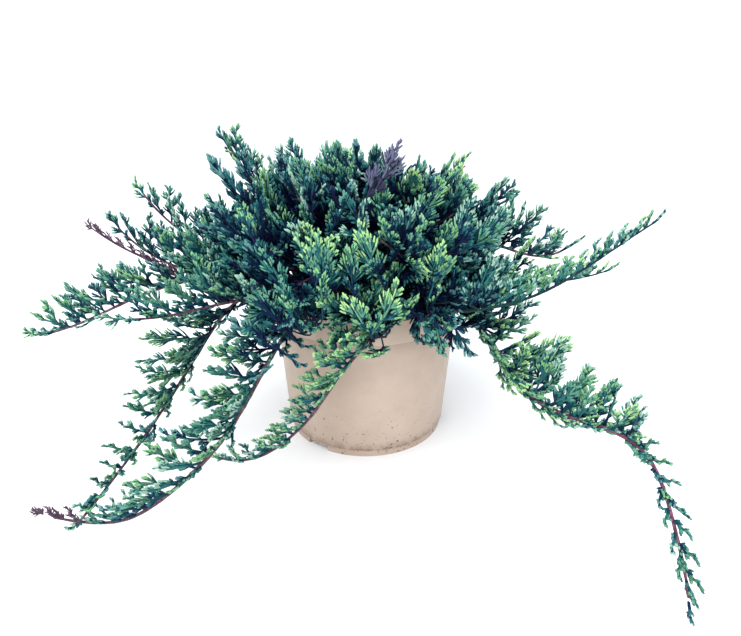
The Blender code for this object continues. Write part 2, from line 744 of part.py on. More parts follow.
def main():
    for obj in list(bpy.data.objects):
        bpy.data.objects.remove(obj)
    juniper = bpy.data.collections.new("potted_wiltonii_juniper")
    cutters = bpy.data.collections.new("cutters")
    for collection in (juniper, cutters):
        bpy.context.scene.collection.children.link(collection)
    plastic = new_material("pot_plastic", (0.63, 0.53, 0.45), 0.55)
    soil = new_material("potting_soil", (0.06, 0.045, 0.035), 0.95)
    bark = new_material("bark", (0.16, 0.09, 0.07), 0.85)
    foliage = new_material("foliage", (0.09, 0.22, 0.15), 0.6)
    dry = new_material("dry_shoot", (0.12, 0.06, 0.08), 0.8)

    make_pot(juniper, cutters, plastic)
    make_root_ball(juniper, soil)
    make_trunk(juniper, bark)

    boughs, stems = plan_limbs()
    spaces = Spaces()
    for name, route, radius, tip_radius in boughs:
        make_bough(name, route, radius, tip_radius, juniper, bark)
        spaces.add(name, route, radius, is_stem=False)
    for name, route, habit in stems:
        spaces.add(name, route, habit.radius, is_stem=True)
    spaces.freeze()

    profile = twig_profile()
    plumes = grow_plumes(stems, spaces)
    for name, route, habit in stems:
        stem = route.clipped(route.length - TIP_SHARE * habit.tip_length)
        radii = habit.radius + (TIP_RADIUS - habit.radius) * stem.distances / stem.length
        stem_mesh = tube_mesh(name, stem.points, radii, 3, profile)
        material = dry if name == DEAD_SHOOT.name else foliage
        join_mass(name, stem_mesh, plumes[name], juniper, material)
    bpy.data.objects.remove(profile)


main()
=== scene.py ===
"""Looks of a creeping juniper of the wiltonii type in a two litre nursery pot.

Metres, +Z up, the pot's axis on Z and the floor at Z = 0. The viewer stands at -Y. A heading
is a compass angle in degrees: 0 is +X and 90 is +Y. A climb is the angle above level.
"""

import math
from collections import namedtuple

import bpy
import numpy as np
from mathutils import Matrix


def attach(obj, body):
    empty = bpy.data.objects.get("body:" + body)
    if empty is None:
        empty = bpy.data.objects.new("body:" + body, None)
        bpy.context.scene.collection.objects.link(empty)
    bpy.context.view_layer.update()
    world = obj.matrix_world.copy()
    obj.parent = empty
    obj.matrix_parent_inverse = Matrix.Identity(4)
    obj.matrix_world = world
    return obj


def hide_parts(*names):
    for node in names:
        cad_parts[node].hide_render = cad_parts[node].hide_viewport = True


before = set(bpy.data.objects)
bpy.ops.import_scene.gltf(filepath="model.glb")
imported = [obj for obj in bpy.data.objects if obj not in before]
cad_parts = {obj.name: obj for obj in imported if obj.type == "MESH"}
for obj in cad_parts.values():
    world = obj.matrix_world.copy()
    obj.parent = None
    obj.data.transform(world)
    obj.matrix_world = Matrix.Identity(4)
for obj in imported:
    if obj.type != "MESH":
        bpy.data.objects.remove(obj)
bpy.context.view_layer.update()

# Pot and soil, as in the solids
POT_HEIGHT = 0.134
RIM_RADIUS = 0.085
SHOULDER_RADIUS = 0.0755
FOOT_RADIUS = 0.0743
POT_WALL = 0.0017
RIM_WIDTH = 0.0024
LIP_FOOT = 0.130
GROOVE_HEIGHT = 0.1126
GROOVE_DEPTH = 0.0009
BAND_MIDDLE = 0.124
SIDE_HOLLOWS = ((0.100, 2), (0.060, 3), (0.030, 4))
FOOT_HEIGHT = 0.0075
FOOT_WIDTH = 0.0026
FOOT_STEP = 0.0008
FOOT_TAPER = 0.0006
PAD_RADIUS = 0.050
PAD_THICKNESS = 0.0022
CHANNEL_HEIGHT = 0.0054
NOTCH_HEIGHT = 0.0048
NOTCH_WIDTH = 0.022
NOTCH_HEADINGS = (233, 353, 113)
DRAIN_HOLES = 6
DRAIN_RADIUS = 0.004
DRAIN_SIDES = 24
EDGE_ROUND = 0.0005
POT_SIDES = 144
SHARPEST_SMOOTH = 38
SOIL_EDGE = 0.1172
SOIL_TOP = 0.1195
SOIL_RINGS = 46
SOIL_SIDES = 120
SOIL_WAVES = 40
WAVE_PITCHES = (180, 900)
WAVE_STEEPNESS = 0.044
CRUMBS = 520
CRUMB_EDGE = 0.97
CRUMB_NEAREST = 0.02
CRUMB_SIZES = (0.0008, 0.0026)
CRUMB_WIDTHS = (0.4, 1.0)
CRUMB_HEIGHTS = (0.3, 0.7)
CRUMB_TILT = 0.4
CRUMB_LIFT = 0.0004

# Trunk and the tiers in which limbs leave it
GAP = 0.0003
TRUNK_FOOT = SOIL_TOP + GAP
TRUNK_TOP = 0.168
TRUNK_HEIGHTS = (TRUNK_FOOT, 0.1215, 0.1245, 0.130, 0.144, 0.157, TRUNK_TOP)
TRUNK_RADII = (0.0135, 0.0122, 0.0105, 0.0095, 0.0087, 0.0079, 0.0072)
TRUNK_LEAN = (-0.05, 0.03)
TIER_HEIGHTS = (0.128, 0.136, 0.145, 0.153, 0.160)
TOP_TIER = 6
FORK_RADIUS = 0.0051

# A limb's length, and its headings and climbs at evenly spaced stations along it. The share
# bough_end of it is its bough. A trailing limb may have a lower bough, which ends at
# lower_end, and a tail beyond.
Limb = namedtuple("Limb", "name tier length headings climbs habit bough_end lower_end",
                  defaults=("crown", 0, 0))
LIMBS = (
    Limb("left_far", 3, 0.312, (200, 189, 181, 163), (5, 3, -25, -14), "leader", 0.48),
    Limb("left_low", 2, 0.223, (218, 202, 191, 182), (8, 2, -10, 9), "leader", 0.36),
    Limb("left_level", 2, 0.236, (178, 183, 165), (2, 9, 50), "leader", 0.42),
    Limb("left_wide", 3, 0.237, (160, 172, 177), (-1, 14, 64), "leader", 0.36),
    Limb("left_trailing", 1, 0.342, (201, 190, 207, 240, 262, 250), (15, 3, -50, -36, -6, -16),
         "trailing", 0.40),
    Limb("front_left_trailing", 1, 0.376, (235, 236, 241, 164, 182), (42, -28, -30, -37, 25),
         "comb", 0.30, 0.62),
    Limb("front_trailing", 3, 0.289, (290, 278, 221, 162, 194, 169), (5, 1, -37, -60, -34, 21),
         "bright", 0.42),
    Limb("right_long", 1, 0.291, (293, 319, 381, 372), (9, 12, 21, 32), "hands", 0.34),
    Limb("right_second", 2, 0.211, (348, 344, 370), (17, 1, 17), "hands", 0.40),
    Limb("right_upper", 3, 0.210, (5, 7, 4, 30), (33, 13, -19, 44), "leader", 0.44),
    Limb("right_trailing", 1, 0.379, (335, 313, 314, 319, 269, 301), (28, -8, -46, 5, -29, -81),
         "dense", 0.27, 0.70),
    Limb("back_left", 2, 0.262, (130, 136, 142), (4, 9, -14), "leader", 0.38),
    Limb("back_middle", 3, 0.236, (95, 86, 98), (2, 12, 30), "leader", 0.38),
    Limb("back_right", 2, 0.262, (45, 53, 40), (3, 7, 6), "leader", 0.38),
    Limb("back_trailing", 1, 0.330, (80, 74, 62, 72), (28, -12, -50, -20), "trailing", 0.40),
    Limb("left_high", 5, 0.170, (165, 169, 159), (43, 35, 62), "spire"),
    Limb("left_upper", 4, 0.154, (190, 185, 176), (28, 36, 51)),
    Limb("front_left_high", 6, 0.112, (215, 242, 240), (37, 37, 38)),
    Limb("front_left_low", 3, 0.137, (232, 226, 214), (40, 9, 42), "fringe"),
    Limb("front_low", 2, 0.160, (250, 238, 215), (35, 10, -83), "fringe"),
    Limb("front_fan", 4, 0.131, (240, 254, 270), (24, 24, 43), "fringe"),
    Limb("front_high", 4, 0.115, (272, 262, 266), (42, 46, 55)),
    Limb("front_crest", 5, 0.147, (286, 284, 196), (10, 24, 36), "fringe"),
    Limb("front_right_fan", 4, 0.138, (308, 294, 291), (12, 23, 48), "fringe"),
    Limb("front_right_high", 6, 0.105, (328, 292, 286), (53, 36, 37)),
    Limb("front_right_low", 2, 0.141, (310, 288, 293), (20, 11, -83), "fringe"),
    Limb("right_front_crest", 5, 0.121, (322, 312, 315), (33, 32, 34)),
    Limb("right_front_low", 3, 0.130, (325, 305, 331), (25, 16, 20), "fringe"),
    Limb("right_crest", 4, 0.162, (25, 26, 14), (46, 12, 41)),
    Limb("right_high", 5, 0.136, (352, 360, 372), (62, 42, 43)),
    Limb("top_left", 6, 0.122, (150, 135, 151), (59, 35, 60)),
    Limb("top_middle", 6, 0.116, (80, 110, 145), (30, 50, 80)),
    Limb("top_right", 6, 0.103, (20, 25, 28), (86, 71, 44)),
    Limb("top_front", 6, 0.106, (275, 262, 285), (66, 60, 66)),
    Limb("back_left_high", 4, 0.150, (135, 131, 122), (42, 33, 52)),
    Limb("back_high", 5, 0.146, (95, 88, 94), (44, 40, 60)),
    Limb("back_right_high", 4, 0.150, (62, 54, 50), (42, 32, 50)),
)
DEAD_SHOOT = Limb("dead_shoot", 0, 0.088, (176, 180, 184), (38, 28, 44), "dead")

# Habit of a limb: the share of it that is bare, how far apart its plumes stand, how long
# they are at its foot and at its tip, how far they lean from the stem, how far round it
# they spread, how much they turn up, how wide they are for their length, the radius of the
# stem, and how many small plumes stand between for each large one. Finer twigs of a length
# leave the limb between two shares of it, at a spacing.
Habit = namedtuple("Habit", "bare spacing length tip_length lean fan rise slender radius small "
                   "twig_length twigs_from twigs_to twig_spacing", defaults=(0, 0.16, 0.84, 0.013))
HABITS = {
    "crown": Habit(0.28, 0.0104, 0.055, 0.050, 40, 165, 0.3, 0.50, 0.0012, 0.4, 0.030),
    "fringe": Habit(0.24, 0.0080, 0.046, 0.042, 44, 170, 0.1, 0.58, 0.0012, 0.4, 0.028),
    "spire": Habit(0.28, 0.0062, 0.032, 0.026, 36, 100, 0.2, 0.62, 0.0012, 1.0, 0.024, 0.16, 0.46),
    "leader": Habit(0.36, 0.0096, 0.042, 0.030, 42, 66, 0.4, 0.52, 0.0012, 0.8, 0.028, 0.2, 0.6),
    "hands": Habit(0.13, 0.0072, 0.030, 0.010, 36, 60, 0.5, 0.66, 0.0010, 0.5, 0.020, 0.12, 0.3),
    "trailing": Habit(0.24, 0.0096, 0.061, 0.008, 54, 62, 0.0, 0.48, 0.0011, 2.1, 0.028, 0.2, 0.4, 0.01),
    "comb": Habit(0.20, 0.0052, 0.050, 0.032, 52, 46, 0.0, 0.48, 0.0012, 0.7, 0.028, 0.18, 0.3, 0.01),
    "dense": Habit(0.08, 0.0054, 0.058, 0.032, 42, 82, 2.4, 0.46, 0.0012, 2.8, 0.024, 0.06, 0.3, 0.009),
    "bright": Habit(0.14, 0.0062, 0.038, 0.009, 44, 56, 0.4, 0.72, 0.0010, 0.9),
    "tail": Habit(0.00, 0.0070, 0.014, 0.010, 29, 110, 0.0, 0.55, 0.0010, 0.6),
    "comb_tail": Habit(0.00, 0.0086, 0.038, 0.003, 35, 46, 0.0, 0.44, 0.0010, 0.3),
    "dead": Habit(0.12, 0.0054, 0.0075, 0.004, 24, 80, 0.0, 0.30, 0.0013, 0.0),
}

# Tries and sizes of plumes, and the small plumes between the large ones
TRIES = 8
SIZE_STEPS = (1.0, 0.85, 0.7, 0.55)
SMALL_SIZE = (0.30, 0.60)
SMALL_SPREAD = 2.0
SMALL_LEAN = 0.55
WIDEST_SPREAD = 170
LEAN_SPREAD = 9
LEAST_TURN = 0.2
SIZE_SPREAD = 0.1
PLUME_TWIST = 25
SEED = 41
SPACE_OVERREACH = 0.006
LIMB_MARGIN = 0.0012
FLOOR_MARGIN = 0.004

# Points along a limb, and along its leafy stretch, its line, its tail and its parts of wood
ROUTE_STEPS = 80
LEAFY_POINTS = 32
LINE_POINTS = 40
TAIL_POINTS = 24
WOOD_POINTS = 30

# Reach to either side over which a direction is taken, and the level part of upward below
# which a line counts as upright
FRAME_REACH = 0.003
STEEP = 0.15

# Finer twigs and the plumes on them
TWIG_LEAN = 52
TWIG_LEAN_SPREAD = 12
TWIG_RISE = 0.30
TWIG_TAPER = 0.35
TWIG_SIZES = (0.7, 1.15)
TWIG_POINTS = 7
TWIG_PLUME = 0.032
TWIG_PLUME_SIZES = (0.75, 1.1)
TWIG_PLUME_WIDTH = 0.58
TWIG_PLUME_SPACING = 0.0110
TWIG_PLUME_LEAN = 44
TWIG_PLUME_LEANS = (0.7, 1.2)
SIDE_PLUME = 0.85
TWIG_OVERREACH = 0.014
STEEPEST_DROOP = -0.4
LINE_BEGIN = 0.10

# Ceilings of the foliage, how they fall towards the back, the right and the left, and the
# lift of the upper one between two places at the left
CEILING = 0.263
FILL_CEILING = 0.252
CEILING_FALL = 0.16
RIGHT_FALL = 0.16
LEFT_FALL = 0.45
LEFT_LIFT = 0.014
LIFT_PLACES = (0.050, 0.105)

# Layers of plumes evenly spread over a dome, each on a twig from the nearest limb: how many,
# the lowest share of the dome's height, how near its surface they end, their lengths, their
# width for their length and their ceiling. Some of the outer ones are spires.
Layer = namedtuple("Layer", "plumes lowest depth lengths width ceiling")
OUTER = Layer(240, -0.26, (0.76, 1.03), (0.036, 0.050), 0.58, FILL_CEILING)
INNER = Layer(100, 0.2, (0.45, 0.68), (0.036, 0.050), 0.58, FILL_CEILING)
SPIRES = Layer(0, 0, (0.98, 1.12), (0.056, 0.070), 0.40, CEILING)
SPIRE_EVERY = 6
DOME_MIDDLE = np.array([0.0, 0.0, 0.150])
DOME_HALF = np.array([0.150, 0.142, 0.106])
DOME_RISE = 0.60
RISE_FROM = -0.45
TIP_WOBBLE = 0.04
DOME_WOBBLE = 0.26
DOME_FARTHEST = 0.060
COVERED_TWIG = 0.020
SHORT_TWIG = 0.010
COVER_PLACE = (0.45, 0.75)
COVER_LENGTH = (0.018, 0.026)
OUTWARD_COST = 0.8
OUT_OF_REACH = 1.0
BEND_REACH = 0.4
BEND_POINTS = 8

# A plume's cords are its spine, the shoots at its sides and the fingers on those. Shoots
# stand between two shares of the spine, lean less towards its tip, lift, and curl forward,
# inward and up. Fingers end nearly level with their shoot's tip.
SPINE_RISE = 0.20
SPINE_SWAY = 0.10
SHOOT_SPACING = 0.0052
FEWEST_SHOOTS = 4
SHOOT_PLACES = (0.08, 0.94)
SHOOT_JITTER = 0.015
WIDEST_PLACE = 0.36
ENVELOPE_END = 1.10
SHOOT_LEAN = 42
SHOOT_LEAN_FALL = 16
SHOOT_LEAN_SPREAD = 8
SHOOT_TILT = 0.30
SHOOT_CURL = (0.26, 0.16, 0.10)
SHOOT_REACH = 0.78
SHOOT_SIZES = (0.74, 1.16)
SHOOT_RISE = 0.50
SHORTEST_SHOOT = 0.0040
GAP_SHARE = 0.08
# Shoots nearer the spine's root than this share take darker shades: painted shade
PAINTED_SHADE_PLACE = 0.34
FINGER_SPACING = 0.0026
FINGER_FIRST = 0.08
FINGER_STRETCH = 0.64
FINGER_END = 0.98
FINGER_LEAN = 31
FINGER_LEAN_SPREAD = 6
FINGER_TILT = 0.5
FINGER_CURL = (0.18, 0.16)
FINGER_SIZES = (0.84, 1.08)
FINGER_LENGTHS = (0.0034, 0.013)
MOST_FINGERS = 6
DEAD_SLIMNESS = 0.62
DARK_FOOT_SHARE = 0.4
DULL_TIP_SHARE = 0.2
CORD_TIP_RADIUS = 0.00082
CORD_SIDES = 3
CORD_BULGE = 0.10
NUDGE = 1e-6

# Spine, shoots and fingers: the radius at the root, the shares of the length at which a
# cord has a ring, and the kind of shade of each stretch between rings, 0 for foot, 1 for
# middle and 2 for tip. The last stretch comes to a point.
CORD_KINDS = (
    (0.00110, (0.0, 0.20, 0.40, 0.60, 0.80, 0.95), (0, 0, 1, 1, 2)),
    (0.00100, (0.0, 0.30, 0.62, 0.90), (0, 1, 2)),
    (0.00096, (0.0, 0.56, 0.88), (1, 2)),
)

# Wood: radii at the ends, the shares from which it is green, red or young, and its relief
BOUGH_RADIUS = 0.0018
BOUGH_TIP_RADIUS = 0.0015
LIMB_TIP_RADIUS = 0.0009
WOOD_TIP_RADIUS = 0.0006
TWIG_RADIUS = 0.0007
GREEN_FROM = 0.15
RED_LIMB = "right_trailing"
RED_FROM = 0.5
YOUNG_FROM = 0.1
BARK_RELIEF = 0.144
FEWEST_RINGS = 6
KNOT_SIZE = 0.16
KNOT_RARITY = 1.3
SUNK_IN = 0.004
BARE_TIP = 0.4

# Sides round the wood and the spacing of its rings
TRUNK_GRID = (36, 0.0012)
BOUGH_GRID = (12, 0.0016)
LIMB_GRID = (8, 0.0022)
TWIG_GRID = (5, 0.005)

WORLD_UP = np.array([0.0, 0.0, 1.0])

# Shades of foliage as sRGB values, from the painted shade of the crown's inside to its newest
# tips, and the name of the shade that each takes where it is darker, mostly as painted shade
SHADES = {
    "night_teal": ((0, 9, 48), "night_teal"),
    "dark_teal": ((0, 31, 62), "night_teal"),
    "deep_green": ((11, 62, 74), "dark_teal"),
    "blue_green": ((32, 90, 98), "dark_teal"),
    "mid_green": ((42, 104, 101), "deep_green"),
    "leaf_green": ((62, 111, 89), "deep_green"),
    "grey_blue": ((86, 134, 132), "blue_green"),
    "fresh_green": ((90, 143, 119), "mid_green"),
    "pale_green": ((142, 180, 160), "grey_blue"),
    "yellow_green": ((118, 168, 118), "fresh_green"),
    "lime": ((154, 196, 134), "yellow_green"),
    "dry_purple": ((46, 46, 70), "dry_purple"),
    "dry_mauve": ((90, 92, 118), "dry_purple"),
    "dead_brown": ((78, 58, 76), "dead_brown"),
    "dead_rose": ((116, 96, 114), "dead_brown"),
}
SHADE_NAMES = list(SHADES)
DARKER = np.array([SHADE_NAMES.index(darker) for _, darker in SHADES.values()])

# Body, middle and tip shades that a plume may take, by how old it is and by how its mass is lit,
# which paints light and shade into them: shaded is painted shade, bright is painted light
LOOKS = {
    "shaded": ("night_teal dark_teal", "dark_teal deep_green", "blue_green mid_green"),
    "old": ("dark_teal", "blue_green deep_green", "grey_blue fresh_green"),
    "usual": ("dark_teal deep_green", "blue_green mid_green leaf_green",
              "fresh_green pale_green yellow_green"),
    "fresh": ("deep_green blue_green", "mid_green fresh_green", "pale_green yellow_green lime"),
    "outer": ("deep_green", "leaf_green mid_green", "fresh_green pale_green yellow_green"),
    "bright": ("leaf_green", "fresh_green", "lime"),
    "dry": ("dry_purple", "dry_purple dry_mauve", "dry_mauve"),
    "dead": ("dead_brown", "dead_brown", "dead_brown dead_rose"),
}
USUAL_LOOKS = ("old", "usual", "usual", "fresh")
FILL_LOOKS = ("shaded", "old", "usual")
# Masses whose plumes draw from other looks than the usual ones. The first masses, at the front and right
# and most in the light, draw mostly fresh looks: partly new growth, partly painted light
MASS_LOOKS = (
    (("usual", "fresh", "fresh"),
     "front_trailing front_fan front_right_fan right_long front_crest right_front_low "
     "front_right_low right_crest right_high top_right right_second right_front_crest "
     "right_trailing"),
    (("old", "old", "usual"), "left_level left_wide top_front front_left_high left_upper"),
    (("outer", "outer", "outer", "old"),
     "left_trailing front_left_trailing front_left_trailing_tail left_far left_low "
     "right_trailing_tail back_trailing"),
)
# The first part of the front trailing limb, most in the light, takes the bright look: painted light
PAINTED_LIGHT_MASS = "front_trailing"
PAINTED_LIGHT_SHARE = 0.55
PURPLE_TIPPED = "front_left_trailing_tail"
PURPLE_FROM = 0.72

# The crown's core, in which darker shades are painted on the foliage as shade: its half axes from
# the dome's middle, and the shares of them at which the painted shade deepens
CORE_HALF = np.array([0.150, 0.145, 0.105])
CORE_DIM = 0.93
CORE_DARK = 0.75
CORE_WOBBLE = 0.06

SQUARE = np.array([(-1, -1), (1, -1), (1, 1), (-1, 1)])

# Stage
FLOOR_SIZE = 80.0
SKY_COLOUR = (0.95, 0.99, 1.04, 1.0)
SKY_STRENGTH = 1.28
LAMP_ENERGY = 26.0
LAMP_SIZE = 1.6
LAMP_PLACE = (-0.25, -0.62, 1.30)
LAMP_AIM = (0.0, 0.0, 0.14)
SENSOR_WIDTH = 36.0
LENS = 27.06
CAMERA_PLACE = (0.0, -0.49, 0.303)
CAMERA_TURNS = (67.9, 0.0, -0.5)


def linear(colour):
    """A socket's colour, from sRGB values of 0 to 255 or from one linear grey."""
    if np.isscalar(colour):
        return (colour, colour, colour, 1.0)
    shares = np.asarray(colour, float) / 255
    curved = np.where(shares <= 0.04045, shares / 12.92, ((shares + 0.055) / 1.055) ** 2.4)
    return (*curved, 1.0)


def shader_of(name):
    material = bpy.data.materials.new(name)
    material.use_nodes = True
    return material, material.node_tree, material.node_tree.nodes["Principled BSDF"]


def plain_material(name, colour, roughness, specular):
    material, _, shader = shader_of(name)
    shader.inputs["Base Color"].default_value = linear(colour)
    shader.inputs["Roughness"].default_value = roughness
    shader.inputs["Specular IOR Level"].default_value = specular
    return material


def node(tree, kind, output, values, **settings):
    """A new node's output; its values are put into its inputs or linked to them."""
    made = tree.nodes.new("ShaderNode" + kind)
    for name, value in settings.items():
        setattr(made, name, value)
    for name, value in values.items():
        if isinstance(value, bpy.types.NodeSocket):
            tree.links.new(value, made.inputs[name])
        else:
            made.inputs[name].default_value = value
    return made.outputs[output]


def ramp(tree, source, *stops):
    """Colours at positions of a source."""
    output = node(tree, "ValToRGB", "Color", {"Fac": source})
    elements = output.node.color_ramp.elements
    for element, (position, colour) in zip(elements, (stops[0], stops[-1])):
        element.position = position
        element.color = linear(colour)
    for position, colour in stops[1:-1]:
        elements.new(position).color = linear(colour)
    return output


def noise(tree, place, scale, detail, roughness):
    values = {"Vector": place, "Scale": scale, "Detail": detail, "Roughness": roughness}
    return node(tree, "TexNoise", "Fac", values)


def mixed(tree, factor, first, second):
    values = {"Factor": factor, "A": first, "B": second}
    return node(tree, "Mix", "Result", values, data_type="RGBA")


def calculated(tree, operation, *values):
    return node(tree, "Math", "Value", dict(enumerate(values)), operation=operation)


def height_share(tree, place, low, high):
    """0 at the height low and 1 at high, held between them."""
    height = node(tree, "SeparateXYZ", "Z", {"Vector": place})
    return node(tree, "MapRange", "Result", {"Value": height, "From Min": low, "From Max": high})


def dress(tree, shader, colour, roughness, relief, depth):
    bump = node(tree, "Bump", "Normal", {"Height": relief, "Distance": depth, "Strength": 1.0})
    tree.links.new(colour, shader.inputs["Base Color"])
    tree.links.new(bump, shader.inputs["Normal"])
    shader.inputs["Roughness"].default_value = roughness


def pot_material():
    """Matt taupe plastic: faint clouds, dirt that thickens towards the foot, a patchy dark line."""
    material, tree, shader = shader_of("pot_plastic_look")
    place = node(tree, "TexCoord", "Object", {})
    clouds = ramp(tree, noise(tree, place, 14.0, 5.0, 0.6), (0.30, (166, 147, 131)),
                  (0.52, (179, 159, 143)), (0.72, (187, 169, 154)))
    limit = calculated(tree, "MULTIPLY_ADD", height_share(tree, place, 0.0, 0.085), 0.15, 0.645)
    specks = calculated(tree, "GREATER_THAN", noise(tree, place, 420.0, 2.0, 0.5), limit)
    dirty = mixed(tree, specks, clouds, linear((104, 74, 58)))
    # A patchy dark brown line round the step above the foot
    line = ramp(tree, height_share(tree, place, 0.004, 0.016),
                (0.00, 0.0), (0.16, 0.25), (0.28, 1.0), (0.42, 0.5), (1.00, 0.0))
    patches = ramp(tree, noise(tree, place, 160.0, 5.0, 0.7), (0.38, 0.1), (0.62, 1.0))
    dark_line_mask = calculated(tree, "MULTIPLY", line, patches)
    dark_lined = mixed(tree, dark_line_mask, dirty, linear((98, 66, 50)))
    dress(tree, shader, dark_lined, 0.5, noise(tree, place, 260.0, 3.0, 0.5), 0.00025)
    shader.inputs["Specular IOR Level"].default_value = 0.4
    return material


def grained_material(name, grain, stops, roughness, relief, depth):
    """Three shades in a grain of noise, with a relief of finer noise."""
    material, tree, shader = shader_of(name)
    place = node(tree, "TexCoord", "Object", {})
    colour = ramp(tree, noise(tree, place, *grain), *stops)
    dress(tree, shader, colour, roughness, noise(tree, place, *relief), depth)
    return material


def bark_material(name, *shades):
    return grained_material(name, (320.0, 5.0, 0.7), tuple(zip((0.32, 0.50, 0.70), shades)), 0.8,
                            (700.0, 5.0, 0.7), 0.0004)


def unit(vectors):
    return vectors / np.linalg.norm(vectors, axis=-1, keepdims=True)


def turned(first, second, angles):
    """Directions turned from the first one towards the second, by angles in radians."""
    angles = np.asarray(angles)[..., None]
    return first * np.cos(angles) + second * np.sin(angles)


def smooth_stations(values, shares):
    """Values at evenly spaced stations, read by a smooth curve at shares from 0 to 1."""
    values = np.asarray(values, float)
    padded = np.concatenate([[2 * values[0] - values[1]], values, [2 * values[-1] - values[-2]]])
    place = np.asarray(shares) * (len(values) - 1)
    index = np.clip(np.floor(place).astype(int), 0, len(values) - 2)
    t = place - index
    a, b, c, d = (padded[index + k] for k in range(4))
    slope_terms = (c - a) * t + (2 * a - 5 * b + 4 * c - d) * t * t
    return b + 0.5 * (slope_terms + (3 * b - a - 3 * c + d) * t ** 3)


def trunk_axis(height):
    rise = height - TRUNK_FOOT
    return np.array([TRUNK_LEAN[0] * rise, TRUNK_LEAN[1] * rise, height])


def trunk_radius(height):
    return float(np.interp(height, TRUNK_HEIGHTS, TRUNK_RADII))


def limb_root(limb, radius):
    heading = math.radians(limb.headings[0])
    climb = math.radians(limb.climbs[0])
    outward = np.array([math.cos(heading), math.sin(heading), 0.0])
    if limb.tier == TOP_TIER:
        height = TRUNK_TOP + GAP + radius * math.cos(climb)
        return trunk_axis(height) + outward * FORK_RADIUS
    height = TIER_HEIGHTS[limb.tier - 1]
    reach = GAP + max(
        side * math.sin(climb) + trunk_radius(height + side * math.cos(climb))
        for side in (-radius, 0.0, radius)
    )
    return trunk_axis(height) + outward * reach


def limb_route(limb, start):
    """The centre line of a limb, from its length, headings and climbs."""
    middles = (np.arange(ROUTE_STEPS) + 0.5) / ROUTE_STEPS
    heading = np.radians(smooth_stations(limb.headings, middles))
    climb = np.radians(smooth_stations(limb.climbs, middles))
    level = np.cos(climb)
    steps = np.stack([level * np.cos(heading), level * np.sin(heading), np.sin(climb)], axis=1)
    walked = np.cumsum(steps * limb.length / ROUTE_STEPS, axis=0)
    return Route(np.concatenate([[start], start + walked]))


class Route:
    """A centre line that can be read at any distance along it."""

    def __init__(self, points):
        self.points = np.asarray(points)
        pieces = np.linalg.norm(np.diff(self.points, axis=0), axis=1)
        self.distances = np.concatenate([[0.0], np.cumsum(pieces)])
        self.length = self.distances[-1]

    def at(self, distance):
        return np.array([np.interp(distance, self.distances, self.points[:, k]) for k in range(3)])

    def frame(self, distance):
        """Place, forward, upward and sideways directions."""
        ahead = self.at(min(distance + FRAME_REACH, self.length))
        forward = unit(ahead - self.at(max(distance - FRAME_REACH, 0.0)))
        upward = WORLD_UP - forward * forward[2]
        if np.linalg.norm(upward) < STEEP:
            upward = np.array([0.0, 1.0, 0.0]) - forward * forward[1]
        upward = unit(upward)
        return self.at(distance), forward, upward, np.cross(forward, upward)

    def part(self, begin, end, count):
        return Route([self.at(stop) for stop in np.linspace(begin, end, count)])


# A mass's leafy stretch, the line of its whole limb, on which finer twigs stand, and the
# name of the limb whose space it shares
Stem = namedtuple("Stem", "name route line habit space goes_on")


def plan_stems():
    """Whole limbs, for their wood, and the leafy stretch of each, for its foliage."""
    limbs, stems = [], []
    for limb in LIMBS:
        habit = HABITS[limb.habit]
        radius = BOUGH_RADIUS if limb.bough_end else habit.radius
        route = limb_route(limb, limb_root(limb, radius))
        limbs.append((limb, route))
        end = (limb.lower_end or 1.0) * route.length
        line = route.part(LINE_BEGIN * route.length, end, LINE_POINTS)
        leafy = route.part(habit.bare * route.length, end, LEAFY_POINTS)
        stems.append(Stem(limb.name, leafy, line, habit, limb.name, bool(limb.lower_end)))
        if limb.lower_end:
            tail = route.part(end, route.length, TAIL_POINTS)
            lower = HABITS["comb_tail" if limb.habit == "comb" else "tail"]
            stems.append(Stem(limb.name + "_tail", tail, tail, lower, limb.name, False))
        if limb.name == "left_far":
            fork = route.at(limb.bough_end * route.length)
    dead = limb_route(DEAD_SHOOT, fork)
    limbs.append((DEAD_SHOOT, dead))
    stems.append(Stem(DEAD_SHOOT.name, dead, dead, HABITS["dead"], DEAD_SHOOT.name, False))
    return limbs, stems


class Spaces:
    """The leafy stems' centre lines, which share out the crown between them."""

    def __init__(self, stems):
        self.begins = np.concatenate([stem.line.points[:-1] for stem in stems])
        self.ends = np.concatenate([stem.line.points[1:] for stem in stems])
        counts = [len(stem.line.points) - 1 for stem in stems]
        self.owners = np.repeat([stem.space for stem in stems], counts)

    def holds(self, owner, points, overreach, ceiling=FILL_CEILING):
        """True where the points keep to the owner's space and are free."""
        along = self.ends - self.begins
        offset = points[:, None, :] - self.begins[None]
        share = np.einsum("psk,sk->ps", offset, along) / np.einsum("sk,sk->s", along, along)
        nearest = offset - np.clip(share, 0.0, 1.0)[..., None] * along[None]
        distances = np.linalg.norm(nearest, axis=2)
        own = distances[:, self.owners == owner].min(axis=1)
        others = distances[:, self.owners != owner].min(axis=1)
        return not (own - overreach > others).any() and is_free(points, ceiling)


def is_free(points, ceiling):
    """True where the points are clear of pot, soil and floor and below a ceiling."""
    right, back, height = points.T
    radial = np.hypot(right, back)
    inside = radial < RIM_RADIUS - RIM_WIDTH - 2 * LIMB_MARGIN
    outside = radial > RIM_RADIUS + 2 * LIMB_MARGIN
    above_rim = height > POT_HEIGHT + LIMB_MARGIN
    above_soil = height > SOIL_TOP + LIMB_MARGIN
    clear_of_pot = above_rim | (inside & above_soil) | outside
    fall = CEILING_FALL * np.clip(back, 0, None) + RIGHT_FALL * np.clip(right, 0, None)
    if ceiling > FILL_CEILING:
        fall = fall - LEFT_LIFT * np.interp(-right, LIFT_PLACES, (0.0, 1.0))
    else:
        fall = fall + LEFT_FALL * np.clip(-right - LIFT_PLACES[0], 0, None)
    return bool(np.all(clear_of_pot & (height > FLOOR_MARGIN) & (height < ceiling - fall)))


Plume = namedtuple("Plume", "place forward across length width look")


